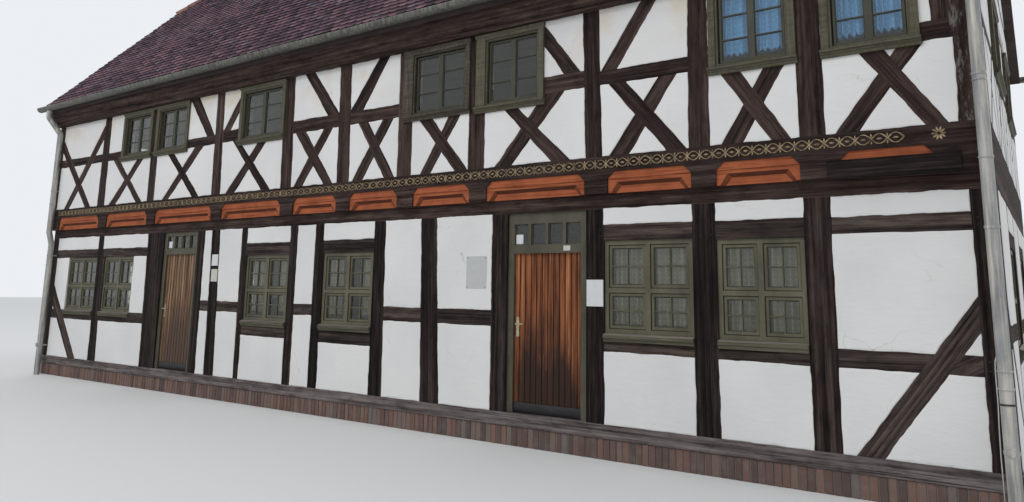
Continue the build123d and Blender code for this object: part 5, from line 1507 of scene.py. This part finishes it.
BAND_FROM, BAND_TO = 0.34, 17.36
BAND_WAVE = 0.30
BAND_SWING = 0.050
BAND_STROKE = 0.0105
BAND_SWELL = 0.3
BAND_LIFT = 0.0025
BAND_SUNK = 0.001
BAND_OVER = 0.0006
BAND_RAISE = 0.002
PETAL_LEAST, PETAL_W = 0.0015, 0.012
LOZENGE_FAT, LEAF_FAT, ROSETTE_FAT = 1.5, 1.1, 1.4
LOZENGE_HALF = 0.026
LEAF_FROM, LEAF_L = 0.018, 0.037
ROSETTE_X = 17.66
ROSETTE_FROM, ROSETTE_L = 0.014, 0.052
ROSETTE_PETALS = 10


def band_ribbon(path_u, path_v, stroke, y, z_mid):
    """A flat painted stroke along a line in the wall: two edges beside the line, lifted off the wood."""
    du, dv = np.gradient(path_u), np.gradient(path_v)
    size = np.hypot(du, dv)
    nu, nv = -dv / size * stroke / 2, du / size * stroke / 2
    edges = [np.column_stack([path_u + side * nu, np.full(len(path_u), y - lift), z_mid + path_v + side * nv])
             for side, lift in ((-1, -BAND_SUNK), (-1, BAND_LIFT), (1, BAND_LIFT), (1, -BAND_SUNK))]
    return np.stack(edges, axis=1).reshape(-1, 3), grid_faces(len(path_u), 4, True)


def ornament():
    """A twist of two strands along the upper sill: v is plus and minus BAND_SWING times a sine along it.

    A lozenge lies in every eye, small leaves point up and down where the strands cross, and a rosette of
    ROSETTE_PETALS petals ends it.
    """
    y = UPPER_FACE
    z_mid = (UPPER_LOW[2] + UPPER_HIGH[2]) / 2 + BAND_RAISE
    x0, x1 = LEFT_CORNER + BAND_FROM, LEFT_CORNER + BAND_TO
    waves = int(round((x1 - x0) / BAND_WAVE))
    eye_pitch = (x1 - x0) / (2 * waves)
    t = np.linspace(0, 1, waves * 20 + 1)
    u = x0 + (x1 - x0) * t
    swing = BAND_SWING * np.sin(2 * np.pi * waves * t)
    stroke = BAND_STROKE * (1 + BAND_SWELL * np.cos(4 * np.pi * waves * t))
    parts = [band_ribbon(u, swing, stroke, y, z_mid), band_ribbon(u, -swing, stroke, y - BAND_OVER, z_mid)]
    s = np.linspace(0, 1, 7)
    petal = PETAL_LEAST + PETAL_W * np.sin(np.pi * s) ** 0.8
    for k in range(waves * 2):
        eye = x0 + (k + 0.5) * eye_pitch
        parts.append(band_ribbon(eye + LOZENGE_HALF * (2 * s - 1), 0 * s, petal * LOZENGE_FAT, y, z_mid))
        for way in (-1, 1):
            leaf = way * (LEAF_FROM + LEAF_L * s)
            parts.append(band_ribbon(x0 + k * eye_pitch + 0 * s, leaf, petal * LEAF_FAT, y, z_mid))
    reach = ROSETTE_FROM + ROSETTE_L * s
    for turn in np.arange(ROSETTE_PETALS) * 2 * np.pi / ROSETTE_PETALS:
        petal_u = LEFT_CORNER + ROSETTE_X + reach * np.cos(turn)
        parts.append(band_ribbon(petal_u, reach * np.sin(turn), petal * ROSETTE_FAT, y, z_mid))
    point_out(make_piece("gilt_running_ornament", *joined(parts), "gilt", slot="brass"))


# Plates

PLATE_T = 0.008
PLATE_BEVEL = 0.002
BOLT_INSET = 0.025
BOLT_R = 0.008
BOLT_RISE = (0.003, -0.001, -0.003, -0.0045)
BOLT_TAPER = (1, 1, 0.8, 0.4)
# Plates on the front: left and right edge, foot and head, and finish
FRONT_PLATES = {
    "white_notice_plate": (13.74, 13.97, 1.36, 1.68, "white_plate"),
    "info_plate": (11.86, 12.21, 1.55, 1.99, "pale_plate"),
    "small_plate_upper": (6.02, 6.20, 1.90, 2.10, "white_plate"),
    "small_plate_lower": (6.03, 6.21, 1.62, 1.84, "cream_plate"),
}
BOLTED_PLATE = "info_plate"
# A bare square in the first light over each door, from the light's corner, and the edges, foot and
# head of the plate on the transom, from the corner of the last light
LIGHTS_EACH = 4
SQUARE_X, SQUARE_Z = 0.012, 0.014
SQUARE_W, SQUARE_H = 0.11, 0.125
SQUARE_SUNK = 0.002
TRANSOM_PLATE = (-0.03, 0.07, -0.085, -0.02)


def plate(name, x0, x1, z0, z1, finish, face=GROUND_FACE, bolts=False):
    """A thin bare plate with cut edges on a face of the front, with or without four bolts as low domes."""
    middle = np.array([(x0 + x1) / 2 + LEFT_CORNER, face - PLATE_T / 2, (z0 + z1) / 2 + SILL_TOP])
    points, faces = billet((x1 - x0, PLATE_T, z1 - z0), PLATE_BEVEL)
    if bolts:
        rise = np.array(BOLT_RISE)[:, None] * AXES[1]
        half_w, half_h = (x1 - x0) / 2 - BOLT_INSET, (z1 - z0) / 2 - BOLT_INSET
        spots = [middle + np.array([x * half_w, -PLATE_T / 2, z * half_h])
                 for x in (-1, 1) for z in (-1, 1)]
        domes = [sweep(spot + rise, BOLT_R, 8, BOLT_TAPER) for spot in spots]
        point_out(make_piece(f"{name}_bolts", *joined(domes), "iron", slot="steel"))
    point_out(make_piece(name, points + middle, faces, finish, slot="plaster"))


def plates():
    """The bare plates on the front, on the door lights and on the transom."""
    for name, values in FRONT_PLATES.items():
        plate(name, *values, bolts=name == BOLTED_PLATE)
    lights = sorted((box[0] for box in solid_boxes("door_top_glass")), key=lambda low: low[0])
    corner = np.array([LEFT_CORNER, 0, SILL_TOP])
    for side, low in (("left", lights[0]), ("right", lights[LIGHTS_EACH])):
        x, _, z = low - corner + np.array([SQUARE_X, 0, SQUARE_Z])
        name = f"{side}_door_light_square"
        plate(name, x, x + SQUARE_W, z, z + SQUARE_H, "white_plate", low[1] + SQUARE_SUNK)
    x, _, z = lights[2 * LIGHTS_EACH - 1] - corner
    edges = np.array([x, x, z, z]) + TRANSOM_PLATE
    plate("small_transom_plate", *edges, "cream_plate", node_box("door_transoms")[0][1])


# Camera, floor and light

# Each lamp's place, power and size. Both look at the middle of the walls.
LAMPS = {"front_lamp": ((-3, -27, 27), 3150, 14), "rear_lamp": ((16, 26, 20), 2200, 16)}
LAMP_AIM = (0, 0, 4)
FLOOR_SIZE = 240
FLOOR_COLOUR = (0.68, 0.68, 0.67)
SKY_COLOUR = (0.93, 0.96, 1.0)
SKY_STRENGTH = 0.9


def photo_camera():
    """The camera at the photograph's eye point, turned by the two vanishing points."""
    street = np.append(STREET_VANISH - OPTICAL_CENTRE, FOCAL_PX)
    upright = np.append(UPRIGHT_VANISH - OPTICAL_CENTRE, FOCAL_PX)
    x_axis = -street / np.linalg.norm(street)
    z_axis = upright / np.linalg.norm(upright)
    z_axis = z_axis - (z_axis @ x_axis) * x_axis
    z_axis /= np.linalg.norm(z_axis)
    seen = np.stack([x_axis, np.cross(z_axis, x_axis), z_axis], axis=1)
    data = bpy.data.cameras.new("photo_camera")
    data.sensor_width = SENSOR_MM
    data.lens = FOCAL_PX / PHOTO_W * SENSOR_MM
    data.shift_y = (OPTICAL_CENTRE[1] - PHOTO_H / 2) / PHOTO_W
    data.clip_end = FAR_CLIP
    camera = bpy.data.objects.new("photo_camera", data)
    bpy.context.scene.collection.objects.link(camera)
    turn = Matrix(np.column_stack([seen[0], -seen[1], -seen[2]]).tolist()).to_4x4()
    eye = EYE + np.array([LEFT_CORNER, GROUND_FACE, SILL_TOP])
    camera.matrix_world = Matrix.Translation(Vector(eye.tolist())) @ turn
    bpy.context.scene.camera = camera


def studio():
    """A pale floor, two wide soft lamps, and an even pale sky."""
    bpy.ops.mesh.primitive_plane_add(size=FLOOR_SIZE, location=(0, 0, 0))
    floor = bpy.context.object
    floor.name = "studio_floor"
    finish = Finish("studio_floor_paint", 0.9)
    finish.colour(FLOOR_COLOUR)
    floor.data.materials.append(finish.material)
    world = bpy.data.worlds.new("studio_sky")
    world.use_nodes = True
    world.node_tree.nodes["Background"].inputs["Color"].default_value = (*SKY_COLOUR, 1)
    world.node_tree.nodes["Background"].inputs["Strength"].default_value = SKY_STRENGTH
    bpy.context.scene.world = world
    for name, (place, power, size) in LAMPS.items():
        data = bpy.data.lights.new(name, "AREA")
        data.energy = power
        data.size = size
        lamp = bpy.data.objects.new(name, data)
        bpy.context.scene.collection.objects.link(lamp)
        lamp.location = place
        lamp.rotation_euler = (Vector(LAMP_AIM) - Vector(place)).to_track_quat("-Z", "Y").to_euler()
    bpy.context.scene.view_settings.view_transform = "Standard"


photo_camera()
finish_nodes()
all_plaster()
roof_tiles()
ridge_caps()
plinth_bricks()
window_trim()
joint_pegs()
gutter_beads()
pipe_trim()
nets()
doors()
ornament()
plates()
studio()
